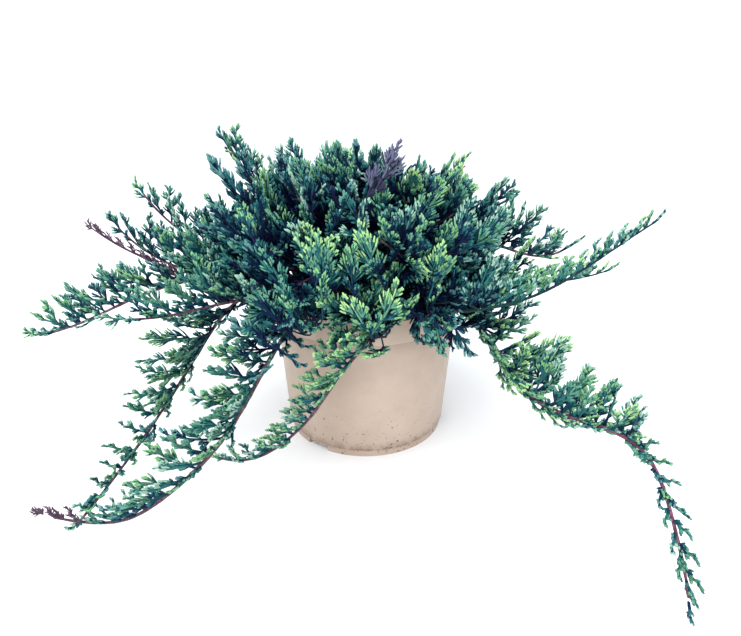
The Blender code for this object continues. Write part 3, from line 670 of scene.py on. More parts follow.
def try_plume(stem, share, at_tip, side, scale, rng, spread=1.0, lean_share=1.0):
    """One plume at a share of the stem's leafy length, turned by the seeded rule."""
    habit = stem.habit
    last = stem.route.length - (0.0 if stem.goes_on else habit.tip_length)
    place, forward, upward, sideways = stem.route.frame(last * share)
    fan = min(habit.fan * spread, max(WIDEST_SPREAD, habit.fan))
    turn = math.radians(side * fan * rng.uniform(LEAST_TURN, 1.0))
    lean = math.radians(habit.lean * lean_share + LEAN_SPREAD * rng.uniform(-1, 1))
    twist = math.radians(PLUME_TWIST * rng.uniform(-1, 1))
    size = 1.0 + SIZE_SPREAD * rng.uniform(-1, 1)
    in_plane = forward
    if at_tip:
        lean, size, in_plane = 0.0, 1.0, sideways + upward
    direction = unit(turned(forward, turned(upward, sideways, turn), lean))
    if not at_tip:
        direction = unit(direction + WORLD_UP * habit.rise * max(math.cos(turn), 0.0))
    flat = unit(in_plane - direction * in_plane.dot(direction))
    across = turned(flat, np.cross(direction, flat), twist)
    length = (habit.length + (habit.tip_length - habit.length) * share) * size * scale
    return Plume(place, direction, across, length, length * habit.slender, None)


def outline_of(plume):
    middle = plume.place + plume.forward * plume.length * 0.5
    tip = plume.place + plume.forward * plume.length
    side = plume.across * plume.width / 2
    return np.array([middle, middle + side, middle - side, tip])


def grow_plumes(stem, spaces, rng):
    """Large plumes on alternate sides of a stem, and small ones between them."""
    habit = stem.habit
    count = max(2, round((stem.route.length - habit.tip_length) / habit.spacing))
    grown = []
    for k in range(count if stem.goes_on else count + 1):
        for attempt in range(len(SIZE_STEPS) * TRIES):
            scale = SIZE_STEPS[attempt // TRIES]
            plume = try_plume(stem, k / count, k == count, 1 if k % 2 else -1, scale, rng)
            if spaces.holds(stem.space, outline_of(plume), SPACE_OVERREACH, CEILING):
                grown.append(plume._replace(look=look_of(stem, rng, k / count)))
                break
    for _ in range(round(count * habit.small)):
        for _ in range(TRIES):
            share = rng.uniform(0, 1)
            side, scale = rng.choice([-1, 1]), rng.uniform(*SMALL_SIZE)
            plume = try_plume(stem, share, False, side, scale, rng, SMALL_SPREAD, SMALL_LEAN)
            if spaces.holds(stem.space, outline_of(plume), SPACE_OVERREACH):
                grown.append(plume._replace(look=look_of(stem, rng, share)))
                break
    return grown


def grow_twigs(stem, spaces, rng):
    """Finer twigs on alternate sides of a limb, which bend upward, with plumes of their own."""
    habit = stem.habit
    twigs, plumes = [], []
    if not habit.twig_length:
        return twigs, plumes
    first = max(habit.twigs_from - LINE_BEGIN, 0.0) * stem.line.length
    stretch = habit.twigs_to * stem.line.length - first
    count = round(stretch / habit.twig_spacing)
    steps = np.linspace(0, 1, TWIG_POINTS)[:, None]
    for k in range(count):
        share = (k + rng.uniform(0.2, 0.8)) / count
        place, forward, upward, sideways = stem.line.frame(first + stretch * share)
        for attempt in range(TRIES):
            side = 1 if (k + attempt) % 2 else -1
            turn = math.radians(side * habit.fan * rng.uniform(LEAST_TURN, 1.0))
            lean = math.radians(TWIG_LEAN + TWIG_LEAN_SPREAD * rng.uniform(-1, 1))
            length = habit.twig_length * (1 - TWIG_TAPER * share) * rng.uniform(*TWIG_SIZES)
            direction = unit(turned(forward, turned(upward, sideways, turn), lean))
            rise = (WORLD_UP - direction * direction[2]) * TWIG_RISE
            twig = Route(place + (direction * steps + rise * steps ** 2) * length)
            if spaces.holds(stem.space, twig.points[TWIG_POINTS // 2:], TWIG_OVERREACH):
                grown = plumes_on_twig(stem, twig, spaces, rng)
                twigs += [twig] if grown else []
                plumes += grown
                break
    return twigs, plumes


def plumes_on_twig(stem, twig, spaces, rng):
    grown = []
    count = max(1, round(twig.length / TWIG_PLUME_SPACING))
    for k in range(1, count + 1):
        at_tip = k == count
        place, forward, upward, sideways = twig.frame(twig.length * k / count)
        for _ in range(TRIES):
            turn = rng.uniform(0, math.tau)
            lean = 0.0
            if not at_tip:
                lean = math.radians(TWIG_PLUME_LEAN * rng.uniform(*TWIG_PLUME_LEANS))
            direction = unit(turned(forward, turned(upward, sideways, turn), lean))
            if direction[2] < STEEPEST_DROOP:
                continue
            flat = unit(np.cross(direction, turned(-sideways, upward, turn)))
            length = TWIG_PLUME * rng.uniform(*TWIG_PLUME_SIZES) * (1.0 if at_tip else SIDE_PLUME)
            plume = Plume(place, direction, flat, length, length * TWIG_PLUME_WIDTH,
                          look_of(stem, rng, is_fill=True))
            if spaces.holds(stem.space, outline_of(plume), TWIG_OVERREACH):
                grown.append(plume)
                break
    return grown


# Plumes that stand out at the front, top and right: look, base, tip and width. A broad one is a
# hand of several plumes from one base.
STANDOUTS = (
    ("fresh", (-0.035, -0.121, 0.177), (-0.032, -0.118, 0.214), 0.036),
    ("fresh", (0.014, -0.123, 0.174), (-0.006, -0.118, 0.216), 0.022),
    ("fresh", (0.004, -0.135, 0.145), (-0.012, -0.145, 0.173), 0.020),
    ("bright", (0.004, -0.135, 0.147), (0.027, -0.143, 0.179), 0.020),
    ("usual", (-0.008, -0.125, 0.167), (-0.013, -0.126, 0.202), 0.019),
    ("usual", (-0.039, -0.083, 0.217), (-0.051, -0.037, 0.246), 0.022),
    ("old", (0.016, -0.108, 0.206), (0.019, -0.101, 0.228), 0.034),
    ("usual", (0.030, -0.098, 0.207), (0.056, -0.067, 0.235), 0.024),
    ("usual", (0.058, -0.103, 0.189), (0.081, -0.077, 0.219), 0.023),
    ("fresh", (0.044, -0.123, 0.168), (0.054, -0.119, 0.201), 0.020),
    ("fresh", (0.075, -0.114, 0.160), (0.093, -0.107, 0.190), 0.021),
    ("usual", (-0.076, -0.095, 0.190), (-0.095, -0.069, 0.217), 0.021),
    ("usual", (-0.053, -0.123, 0.168), (-0.068, -0.118, 0.197), 0.022),
    ("usual", (-0.046, -0.132, 0.158), (-0.061, -0.134, 0.178), 0.020),
    ("usual", (-0.030, -0.130, 0.157), (-0.029, -0.136, 0.188), 0.018),
    ("old", (-0.050, -0.127, 0.140), (-0.084, -0.127, 0.172), 0.028),
    ("old", (-0.059, -0.128, 0.130), (-0.098, -0.131, 0.150), 0.020),
    ("usual", (-0.044, -0.136, 0.149), (-0.058, -0.139, 0.171), 0.015),
    ("usual", (0.046, -0.131, 0.162), (0.051, -0.147, 0.137), 0.014),
    ("old", (0.057, -0.125, 0.158), (0.073, -0.131, 0.129), 0.016),
    ("old", (0.037, -0.137, 0.161), (0.042, -0.147, 0.145), 0.012),
    ("dry", (0.0050, -0.082, 0.2335), (0.0255, -0.078, 0.2625), 0.023),
    ("dry", (0.0010, -0.082, 0.2310), (0.0080, -0.079, 0.2515), 0.015),
    ("usual", (0.089, -0.073, 0.130), (0.113, -0.076, 0.138), 0.021),
    ("usual", (0.098, -0.082, 0.121), (0.123, -0.088, 0.131), 0.023),
    ("fresh", (0.105, -0.090, 0.111), (0.131, -0.098, 0.121), 0.023),
    ("usual", (0.112, -0.097, 0.101), (0.136, -0.106, 0.110), 0.021),
)
FAN_WIDTH = 0.85
HAND_PLUMES = 5
HAND_SPREAD = 27
HAND_SHARE = 0.36
HAND_SIZES = (0.9, 1.05)


def twig_to(base, direction, spaces):
    """A twig that leaves the nearest inner limb and arrives at a base, and that limb's name."""
    away = np.linalg.norm(spaces.begins - base, axis=1)
    farther = np.linalg.norm(spaces.begins[:, :2], axis=1) - np.linalg.norm(base[:2])
    cost = away + OUTWARD_COST * np.clip(farther, 0, None)
    cost[spaces.owners == DEAD_SHOOT.name] = OUT_OF_REACH
    nearest = int(np.argmin(cost))
    start = spaces.begins[nearest]
    bend = base - direction * away[nearest] * BEND_REACH
    if direction.dot(base - start) < 0:
        bend = (start + base) / 2
    steps = np.linspace(0, 1, BEND_POINTS)[:, None]
    points = start * (1 - steps) ** 2 + bend * 2 * steps * (1 - steps) + base * steps ** 2
    return Route(points), away[nearest], str(spaces.owners[nearest])


def grow_standouts(spaces, grown):
    rng = np.random.default_rng(SEED)
    for look, base, tip, width in STANDOUTS:
        base, tip = np.array(base), np.array(tip)
        direction = unit(tip - base)
        twig, away, owner = twig_to(base, direction, spaces)
        twigs, plumes = grown[owner]
        flat = unit(np.cross(unit(base - DOME_MIDDLE), direction))
        length = float(np.linalg.norm(tip - base))
        plume = Plume(base, direction, flat, length, width, shades_of(look, rng))
        if away > SHORT_TWIG:
            twigs.append(twig)
            plumes.append(cover_plume(twig, plume, rng))
        if width < FAN_WIDTH * length:
            plumes.append(plume)
            continue
        for turn in np.radians(np.linspace(-HAND_SPREAD, HAND_SPREAD, HAND_PLUMES)):
            reach = length * rng.uniform(*HAND_SIZES)
            plumes.append(plume._replace(
                forward=turned(direction, flat, turn), across=turned(flat, -direction, turn),
                length=reach, width=reach * HAND_SHARE))


def cover_plume(twig, plume, rng):
    """A small plume part of the way along a twig, so that it isn't bare."""
    place, forward, upward, sideways = twig.frame(twig.length * rng.uniform(*COVER_PLACE))
    across_twig = turned(upward, sideways, rng.uniform(0, math.tau))
    direction = unit(turned(forward, across_twig, math.radians(TWIG_PLUME_LEAN)))
    flat = unit(np.cross(direction, plume.across + across_twig))
    length = rng.uniform(*COVER_LENGTH)
    return Plume(place, direction, flat, length, length * OUTER.width, plume.look)


def grow_dome(stems, spaces):
    """Plumes spread over the dome's layers, each on a twig, dealt to their limbs."""
    rng = np.random.default_rng(SEED)
    bearers = {stem.space: stem for stem in reversed(stems) if stem.name != DEAD_SHOOT.name}
    grown = {stem.name: ([], []) for stem in stems}
    golden = math.pi * (3 - math.sqrt(5))
    for layer, k in [(layer, k) for layer in (OUTER, INNER) for k in range(layer.plumes)]:
        rise = layer.lowest + (1 - layer.lowest) * (k + 0.5) / layer.plumes
        level = math.sqrt(1 - rise * rise)
        outward = np.array([level * math.cos(golden * k), level * math.sin(golden * k), rise])
        turned_up = WORLD_UP * DOME_RISE * min(max(rise - RISE_FROM, 0.0), 1.0)
        if layer is OUTER and k % SPIRE_EVERY == 0 and rise > 0:
            layer = SPIRES
        for _ in range(TRIES):
            aim = outward + rng.normal(0, TIP_WOBBLE, 3)
            tip = DOME_MIDDLE + DOME_HALF * aim * rng.uniform(*layer.depth)
            direction = unit(outward + turned_up + rng.normal(0, DOME_WOBBLE, 3))
            length = rng.uniform(*layer.lengths)
            base = tip - direction * length
            twig, away, owner = twig_to(base, direction, spaces)
            flat = unit(np.cross(outward, direction) + rng.normal(0, DOME_WOBBLE, 3))
            flat = unit(flat - direction * flat.dot(direction))
            plume = Plume(base, direction, flat, length, length * layer.width, None)
            reached = np.concatenate([twig.points[2:], outline_of(plume)])
            if away < DOME_FARTHEST and is_free(reached, layer.ceiling):
                stem = bearers[owner]
                twigs, plumes = grown[stem.name]
                plume = plume._replace(look=look_of(stem, rng))
                twigs.append(twig)
                plumes.append(plume)
                if away > COVERED_TWIG:
                    plumes.append(cover_plume(twig, plume, rng))
                break
    grow_standouts(spaces, grown)
    return grown


def look_of(stem, rng, share=0.0, is_fill=False):
    """The shades of one plume, by its mass and its share of the stem."""
    if stem.name == DEAD_SHOOT.name or (stem.name == PURPLE_TIPPED and share > PURPLE_FROM):
        return shades_of("dead", rng)
    if stem.name == PAINTED_LIGHT_MASS and share < PAINTED_LIGHT_SHARE:
        return shades_of("bright", rng)
    looks = USUAL_LOOKS
    for group_looks, names in MASS_LOOKS:
        if stem.name in names.split():
            looks = group_looks
    if is_fill and "outer" not in looks:
        looks = FILL_LOOKS
    return shades_of(rng.choice(looks), rng)


def shades_of(look, rng):
    """Indices of the body, middle and tip shades of a plume."""
    return [SHADE_NAMES.index(rng.choice(choices.split())) for choices in LOOKS[look]]


Cords = namedtuple("Cords", "start forward bend reference length slim shades")


def cord_points(cords, share):
    """Places on cords at one share of their length each."""
    share = share[:, None]
    return cords.start + (cords.forward * share + cords.bend * share ** 2) * cords.length[:, None]


def grow_cords(plume, rng):
    """A plume's spine, its side shoots and the fingers on those, as three batches of cords."""
    normal = np.cross(plume.forward, plume.across)
    rise = WORLD_UP - plume.forward * plume.forward[2]
    slim = DEAD_SLIMNESS if plume.look[0] == SHADE_NAMES.index("dead_brown") else 1.0
    spine_bend = rise * SPINE_RISE + plume.across * rng.uniform(-SPINE_SWAY, SPINE_SWAY)
    spine = Cords(*(np.array([value]) for value in (
        plume.place, plume.forward, spine_bend, normal, plume.length, slim, plume.look)))
    count = max(FEWEST_SHOOTS, round(plume.length / SHOOT_SPACING))
    share = np.linspace(*SHOOT_PLACES, count) + rng.uniform(-SHOOT_JITTER, SHOOT_JITTER, count)
    narrowing = (ENVELOPE_END - share) / (ENVELOPE_END - WIDEST_PLACE)
    envelope = np.where(share < WIDEST_PLACE, 0.5 + 0.5 * share / WIDEST_PLACE,
                        np.sqrt(np.clip(narrowing, 0, 1)))
    lean = SHOOT_LEAN - SHOOT_LEAN_FALL * share
    lean = np.radians(lean + rng.uniform(-SHOOT_LEAN_SPREAD, SHOOT_LEAN_SPREAD, count))
    length = plume.width * SHOOT_REACH * envelope * rng.uniform(*SHOOT_SIZES, count)
    length[rng.uniform(0, 1, count) < GAP_SHARE] *= 0.5
    length = np.maximum(length, SHORTEST_SHOOT)
    side = np.where(np.arange(count) % 2, 1.0, -1.0)
    tilt = rng.uniform(-SHOOT_TILT, SHOOT_TILT, count)
    along_spine = unit(plume.forward + 2 * spine_bend * share[:, None])
    across = unit(plume.across * side[:, None] + normal * tilt[:, None] + rise * SHOOT_RISE)
    forward = unit(turned(along_spine, across, lean))
    onward, inward, upward = SHOOT_CURL
    bend = along_spine * onward - across * inward + WORLD_UP * upward
    shades = np.repeat([plume.look], count, axis=0)
    # Shoots near the spine's root take darker shades: painted shade of the plume's inside
    shades[share < PAINTED_SHADE_PLACE] = DARKER[shades[share < PAINTED_SHADE_PLACE]]
    shoots = Cords(cord_points(spine, share), forward, bend, unit(np.cross(forward, across)),
                   length, np.full(count, slim), shades)
    # Fingers stand on alternate sides of a shoot
    number = np.clip(np.round(length / FINGER_SPACING), 1, MOST_FINGERS).astype(int)
    owner = np.repeat(np.arange(count), number)
    order = np.concatenate([np.arange(fingers) for fingers in number])
    total = len(owner)
    parents = Cords(*(field[owner] for field in shoots))
    share = FINGER_FIRST + FINGER_STRETCH * (order + rng.uniform(0.2, 0.8, total)) / number[owner]
    along_shoot = unit(parents.forward + 2 * parents.bend * share[:, None])
    turn = np.where(order % 2, 1.0, -1.0) * side[owner]
    lean = FINGER_LEAN + rng.uniform(-FINGER_LEAN_SPREAD, FINGER_LEAN_SPREAD, total)
    sideways = unit(np.cross(parents.reference, along_shoot))
    tilt = rng.uniform(-FINGER_TILT, FINGER_TILT, total)
    across = unit(sideways * turn[:, None] + parents.reference * tilt[:, None])
    forward = unit(turned(along_shoot, across, np.radians(lean)))
    bend = along_shoot * FINGER_CURL[0] - across * FINGER_CURL[1]
    length = parents.length * (FINGER_END - share) * rng.uniform(*FINGER_SIZES, total)
    shades = parents.shades
    has_dark_foot = rng.uniform(0, 1, total) < DARK_FOOT_SHARE
    shades[has_dark_foot, 1] = shades[has_dark_foot, 0]
    has_dull_tip = rng.uniform(0, 1, total) < DULL_TIP_SHARE
    shades[has_dull_tip, 2] = DARKER[shades[has_dull_tip, 2]]
    fingers = Cords(cord_points(parents, share), forward, bend, parents.reference,
                    np.clip(length, *FINGER_LENGTHS), parents.slim, shades)
    return [deepened(cords, rng) for cords in (spine, shoots, fingers)]


def deepened(cords, rng):
    """The cords with painted shade: darker shades towards the inside of the crown."""
    inward = np.linalg.norm((cords.start - DOME_MIDDLE) / CORE_HALF, axis=1)
    inward = inward + rng.uniform(-CORE_WOBBLE, CORE_WOBBLE, len(inward))
    shades = cords.shades.copy()
    for limit in (CORE_DIM, CORE_DARK, CORE_DARK):
        shades[inward < limit] = DARKER[shades[inward < limit]]
    return cords._replace(shades=shades)


def ring_quads(rings, sides):
    """Corners of the quads between rings of corners, and the ring that each starts from."""
    ring, side = np.divmod(np.arange((rings - 1) * sides), sides)
    near = ring * sides + side
    beside = ring * sides + (side + 1) % sides
    return np.stack([near, beside, beside + sides, near + sides], axis=1), ring


def ring_cap(first, sides, tip):
    """Corners of the triangles between a ring and one corner."""
    around = np.arange(sides)
    return np.stack([first + around, first + (around + 1) % sides, np.full(sides, tip)], axis=1)


def cord_arrays(cords, root_radius, shares, zones):
    """Corners, quads, triangles and their shades, of cords with rings at shares of them."""
    count, rings = len(cords.length), len(shares)
    shares = np.array(shares)[:, None]
    reach = cords.length[:, None, None]
    centres = (cords.start[:, None] + cords.forward[:, None] * shares * reach
               + cords.bend[:, None] * shares ** 2 * reach)
    tips = cords.start + (cords.forward + cords.bend) * cords.length[:, None]
    u = unit(np.cross(cords.forward, cords.reference + NUDGE))
    v = np.cross(cords.forward, u)
    bulge = 1.0 + CORD_BULGE * np.where(np.arange(rings) % 2, 1.0, -1.0)
    root = root_radius * cords.slim[:, None]
    radii = (root + (CORD_TIP_RADIUS * cords.slim[:, None] - root) * shares.T) * bulge
    around = turned(u[:, None], v[:, None], math.tau * np.arange(CORD_SIDES) / CORD_SIDES)
    corners = centres[:, :, None] + around[:, None] * radii[..., None, None]
    corners = np.concatenate([corners.reshape(count, -1, 3), tips[:, None]], axis=1)
    per_cord = rings * CORD_SIDES + 1
    base = np.arange(count)[:, None, None] * per_cord
    quads, ring = ring_quads(rings, CORD_SIDES)
    caps = ring_cap((rings - 1) * CORD_SIDES, CORD_SIDES, per_cord - 1)
    quad_shades = cords.shades[:, np.array(zones)[ring]].ravel()
    cap_shades = np.repeat(cords.shades[:, 2], CORD_SIDES)
    return (corners.reshape(-1, 3), (base + quads).reshape(-1, 4), (base + caps).reshape(-1, 3),
            quad_shades, cap_shades)


def mesh_from_arrays(name, batches, materials):
    """One mesh of quads and triangles from several batches of arrays."""
    corners, quads, caps, quad_shades, cap_shades = zip(*batches)
    starts = np.cumsum([0] + [len(points) for points in corners[:-1]])
    corners = np.concatenate(corners)
    quads = np.concatenate([rows + start for rows, start in zip(quads, starts)])
    caps = np.concatenate([rows + start for rows, start in zip(caps, starts)])
    mesh = bpy.data.meshes.new(name)
    mesh.vertices.add(len(corners))
    mesh.vertices.foreach_set("co", corners.astype(np.float32).ravel())
    mesh.loops.add(quads.size + caps.size)
    loops = np.concatenate([quads.ravel(), caps.ravel()])
    mesh.loops.foreach_set("vertex_index", loops.astype(np.int32))
    starts = np.concatenate([np.arange(len(quads)) * 4, quads.size + np.arange(len(caps)) * 3])
    mesh.polygons.add(len(starts))
    mesh.polygons.foreach_set("loop_start", starts.astype(np.int32))
    for material in materials:
        mesh.materials.append(material)
    shades = np.concatenate(quad_shades + cap_shades)
    mesh.polygons.foreach_set("material_index", shades.astype(np.int32))
    mesh.update(calc_edges=True)
    mesh.shade_smooth()
    return mesh


def new_object(name, data):
    made = bpy.data.objects.new(name, data)
    bpy.context.scene.collection.objects.link(made)
    return made


def new_piece(mesh, slot, *nodes):
    """A piece with the mesh's name, which stands for the nodes and hides them."""
    piece = new_object(mesh.name, mesh)
    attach(piece, "root")
    if nodes:
        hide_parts(*nodes)
    return piece


MOST_TRIANGLES = 185000


def triangles_in(batches):
    return sum(2 * len(batch[1]) + len(batch[2]) for batch in batches)


def make_foliage(stems):
    """Every mass's sprays, joined into pieces by neighbouring masses."""
    spaces = Spaces(stems)
    materials = [plain_material(name, SHADES[name][0], 0.68, 0.16) for name in SHADE_NAMES]
    twigs, waiting, nodes, number = [], [], [], 1
    dome = grow_dome(stems, spaces)
    for index, stem in enumerate(stems):
        rng = np.random.default_rng(SEED + index)
        plumes = grow_plumes(stem, spaces, rng)
        more_twigs, more_plumes = grow_twigs(stem, spaces, rng)
        twigs += more_twigs + dome[stem.name][0]
        plumes += more_plumes + dome[stem.name][1]
        kinds = zip(*(grow_cords(plume, rng) for plume in plumes))
        batches = []
        for parts, kind in zip(kinds, CORD_KINDS):
            cords = Cords(*(np.concatenate(field) for field in zip(*parts)))
            batches.append(cord_arrays(cords, *kind))
        if stem.name == DEAD_SHOOT.name:
            new_piece(mesh_from_arrays("dry_shoot", batches, materials), "dry_shoot", stem.name)
            continue
        if waiting and triangles_in(waiting) + triangles_in(batches) > MOST_TRIANGLES:
            mesh = mesh_from_arrays(f"foliage_{number}", waiting, materials)
            new_piece(mesh, "foliage", *nodes)
            waiting, nodes, number = [], [], number + 1
        waiting += batches
        nodes.append(stem.name)
    new_piece(mesh_from_arrays(f"foliage_{number}", waiting, materials), "foliage", *nodes)
    return twigs


def wood_arrays(route, radii, sides, spacing, rng, change_at=1.0, materials=(0, 1)):
    """A round limb with lengthwise bark relief, as arrays; its ends are closed to points.

    Beyond the share change_at of it, it has the second of its two materials.
    """
    count = max(FEWEST_RINGS, round(route.length / spacing))
    stops = np.linspace(0.0, route.length, count)
    radius = np.interp(stops, route.distances, radii)
    rough = rng.normal(size=(count, sides))
    for _ in range(2):
        rough = (np.roll(rough, 1, axis=0) + 2 * rough + np.roll(rough, -1, axis=0)) / 4
    knots = 1.0 + KNOT_SIZE * np.clip(rng.normal(size=count) - KNOT_RARITY, 0, 1)
    reaches = (radius * knots)[:, None] * (1.0 + BARK_RELIEF * rough)
    angles = math.tau * np.arange(sides) / sides
    rings = []
    for stop, reach in zip(stops, reaches):
        place, forward, upward, sideways = route.frame(stop)
        rings.append(place + reach[:, None] * turned(sideways, upward, angles))
    corners = np.concatenate(rings + [route.points[:1], [place + forward * radius[-1]]])
    quads, ring = ring_quads(count, sides)
    foot = ring_cap(0, sides, count * sides)[:, [1, 0, 2]]
    end = ring_cap((count - 1) * sides, sides, count * sides + 1)
    quad_shades = np.where(ring >= change_at * count, materials[1], materials[0])
    cap_shades = np.repeat([materials[0], materials[1] if change_at < 1.0 else materials[0]], sides)
    return corners, quads, np.concatenate([foot, end]), quad_shades, cap_shades


def make_wood(limbs, fine_twigs):
    """Trunk, boughs and twigs, each with the bark's relief."""
    rng = np.random.default_rng(SEED)
    bark = bark_material("bark_look", (40, 27, 30), (86, 62, 64), (138, 112, 110))
    young = bark_material("young_bark_look", (38, 22, 32), (74, 48, 62), (120, 92, 104))
    red = bark_material("red_bark_look", (56, 24, 40), (104, 52, 76), (144, 94, 116))
    # Green stems in a dark green, partly painted shade of the crown's inside, where most of them lie
    green = plain_material("green_stem_look", (14, 48, 50), 0.7, 0.2)
    trunk = Route([trunk_axis(height) for height in TRUNK_HEIGHTS])
    trunk_wood = [wood_arrays(trunk, TRUNK_RADII, *TRUNK_GRID, rng)]
    new_piece(mesh_from_arrays("trunk_wood", trunk_wood, [bark]), "bark", "trunk")
    boughs, bough_nodes, twigs = [], [], []
    for limb, route in limbs:
        habit = HABITS[limb.habit]
        begin, ends = 0.0, (habit.radius, WOOD_TIP_RADIUS)
        if limb.bough_end:
            split = (limb.lower_end or limb.bough_end) * route.length
            start = route.points[0] - unit(route.points[1] - route.points[0]) * SUNK_IN
            bough = Route(np.concatenate([[start], route.part(0.0, split, LINE_POINTS).points]))
            radii = np.linspace(BOUGH_RADIUS, BOUGH_TIP_RADIUS, len(bough.points))
            change_at = RED_FROM if limb.name == RED_LIMB else 1.0
            boughs.append(wood_arrays(bough, radii, *BOUGH_GRID, rng, change_at))
            bough_nodes.append(limb.name + "_bough")
            if limb.lower_end:
                bough_nodes.append(limb.name + "_lower_bough")
            begin = split - SUNK_IN
            tip_radius = WOOD_TIP_RADIUS if limb.habit == "hands" else LIMB_TIP_RADIUS
            ends = (BOUGH_TIP_RADIUS, tip_radius)
        bare_tip = 0.0 if limb is DEAD_SHOOT else BARE_TIP * habit.tip_length
        rest = route.part(begin, route.length - bare_tip, WOOD_POINTS)
        change_at, materials = 1.0, (0, 1)
        if limb.name == RED_LIMB:
            change_at, materials = 0.0, (0, 2)
        elif limb.habit == "hands":
            change_at = YOUNG_FROM
        radii = np.linspace(*ends, WOOD_POINTS)
        twigs.append(wood_arrays(rest, radii, *LIMB_GRID, rng, change_at, materials))
    for twig in fine_twigs:
        radii = np.linspace(TWIG_RADIUS, WOOD_TIP_RADIUS, len(twig.points))
        twigs.append(wood_arrays(twig, radii, *TWIG_GRID, rng, GREEN_FROM))
    new_piece(mesh_from_arrays("boughs", boughs, [bark, red]), "bark", *bough_nodes)
    new_piece(mesh_from_arrays("twigs", twigs, [young, green, red]), "bark")


def side_radius(height):
    share = (height - FOOT_HEIGHT) / (POT_HEIGHT - FOOT_HEIGHT)
    return SHOULDER_RADIUS + (RIM_RADIUS - SHOULDER_RADIUS) * share


def inner_radius(height):
    share = (height - FOOT_HEIGHT) / (LIP_FOOT - FOOT_HEIGHT)
    return side_radius(height) - POT_WALL - (RIM_WIDTH - POT_WALL) * share


def plain_mesh(name, corners, faces, *materials):
    mesh = bpy.data.meshes.new(name)
    mesh.from_pydata(corners, [], faces)
    for material in materials:
        mesh.materials.append(material)
    return mesh


def round_corners(radius, height, sides):
    """Corners on rings round the pot's axis."""
    angles = math.tau * np.arange(sides) / sides
    x, y = radius * np.cos(angles), radius * np.sin(angles)
    return np.stack([x, y, height + 0 * x], axis=2)


def round_faces(rings, sides):
    """Faces of a round shape whose first corner is on its axis."""
    faces = []
    for k in range(sides):
        beside = (k + 1) % sides
        faces.append((0, 1 + k, 1 + beside))
        for first in range(1, 1 + (rings - 1) * sides, sides):
            faces.append((first + k, first + sides + k, first + sides + beside, first + beside))
    return faces


def make_pot():
    band_foot = side_radius(GROOVE_HEIGHT)
    bevel = EDGE_ROUND
    # Radii and heights from the inner floor, over the rim, to the floor underneath
    profile = [
        (PAD_RADIUS - POT_WALL, PAD_THICKNESS),
        (PAD_RADIUS + POT_WALL, FOOT_HEIGHT),
        (inner_radius(FOOT_HEIGHT), FOOT_HEIGHT),
        (inner_radius(LIP_FOOT), LIP_FOOT),
        (RIM_RADIUS - RIM_WIDTH, POT_HEIGHT - bevel),
        (RIM_RADIUS - RIM_WIDTH + bevel / 2, POT_HEIGHT - bevel / 4),
        (RIM_RADIUS - RIM_WIDTH + 2 * bevel, POT_HEIGHT),
        (RIM_RADIUS - 2 * bevel, POT_HEIGHT),
        (RIM_RADIUS - bevel / 2, POT_HEIGHT - bevel / 4),
        (RIM_RADIUS, POT_HEIGHT - bevel),
        (side_radius(BAND_MIDDLE), BAND_MIDDLE),
        (band_foot + bevel / 4, GROOVE_HEIGHT + GROOVE_DEPTH + bevel),
        (band_foot - bevel / 4, GROOVE_HEIGHT + GROOVE_DEPTH),
        (band_foot - GROOVE_DEPTH, GROOVE_HEIGHT + GROOVE_DEPTH / 3),
        (band_foot - GROOVE_DEPTH, GROOVE_HEIGHT),
        (band_foot - GROOVE_DEPTH / 2, GROOVE_HEIGHT - GROOVE_DEPTH),
        *((side_radius(height) - bevel / part, height) for height, part in SIDE_HOLLOWS),
        (SHOULDER_RADIUS, FOOT_HEIGHT + bevel),
        (SHOULDER_RADIUS - bevel / 2, FOOT_HEIGHT),
        (FOOT_RADIUS, FOOT_HEIGHT - FOOT_STEP),
        (FOOT_RADIUS - FOOT_TAPER, 0.0),
        (FOOT_RADIUS - FOOT_WIDTH, 0.0),
        (FOOT_RADIUS - FOOT_WIDTH, CHANNEL_HEIGHT),
        (PAD_RADIUS + POT_WALL, CHANNEL_HEIGHT),
        (PAD_RADIUS, 0.0),
    ]
    radius, height = np.array(profile).T[..., None]
    rings = round_corners(radius, height, POT_SIDES)
    corners = [(0.0, 0.0, PAD_THICKNESS), *rings.reshape(-1, 3), (0.0, 0.0, 0.0)]
    last = len(corners) - 1
    faces = round_faces(len(rings), POT_SIDES)
    faces += [*ring_cap(last - POT_SIDES, POT_SIDES, last)[:, [0, 2, 1]]]
    mesh = plain_mesh("nursery_pot", corners, faces, pot_material())
    mesh.shade_smooth()
    mesh.set_sharp_from_angle(angle=math.radians(SHARPEST_SMOOTH))
    pot = new_piece(mesh, "pot_plastic", "pot")
    notch = SQUARE * (FOOT_WIDTH * 1.5, NOTCH_WIDTH / 2)
    ring = FOOT_RADIUS - FOOT_WIDTH / 2
    cutters = [prism(notch, ring, math.radians(heading), -NOTCH_HEIGHT, NOTCH_HEIGHT)
               for heading in NOTCH_HEADINGS]
    drain = round_corners(np.array([[DRAIN_RADIUS]]), 0.0, DRAIN_SIDES)[0, :, :2]
    ring = (PAD_RADIUS + POT_WALL + FOOT_RADIUS - FOOT_WIDTH) / 2
    for k in range(DRAIN_HOLES):
        turn = math.tau * (k + 0.5) / DRAIN_HOLES
        cutters.append(prism(drain, ring, turn, CHANNEL_HEIGHT / 2, FOOT_HEIGHT * 1.5))
    for cutter in cutters:
        cut = pot.modifiers.new("cut", "BOOLEAN")
        cut.operation = "DIFFERENCE"
        cut.object = cutter
    bpy.context.view_layer.update()
    evaluated = pot.evaluated_get(bpy.context.evaluated_depsgraph_get())
    whole = bpy.data.meshes.new_from_object(evaluated)
    pot.modifiers.clear()
    pot.data = whole
    for cutter in cutters:
        bpy.data.objects.remove(cutter)


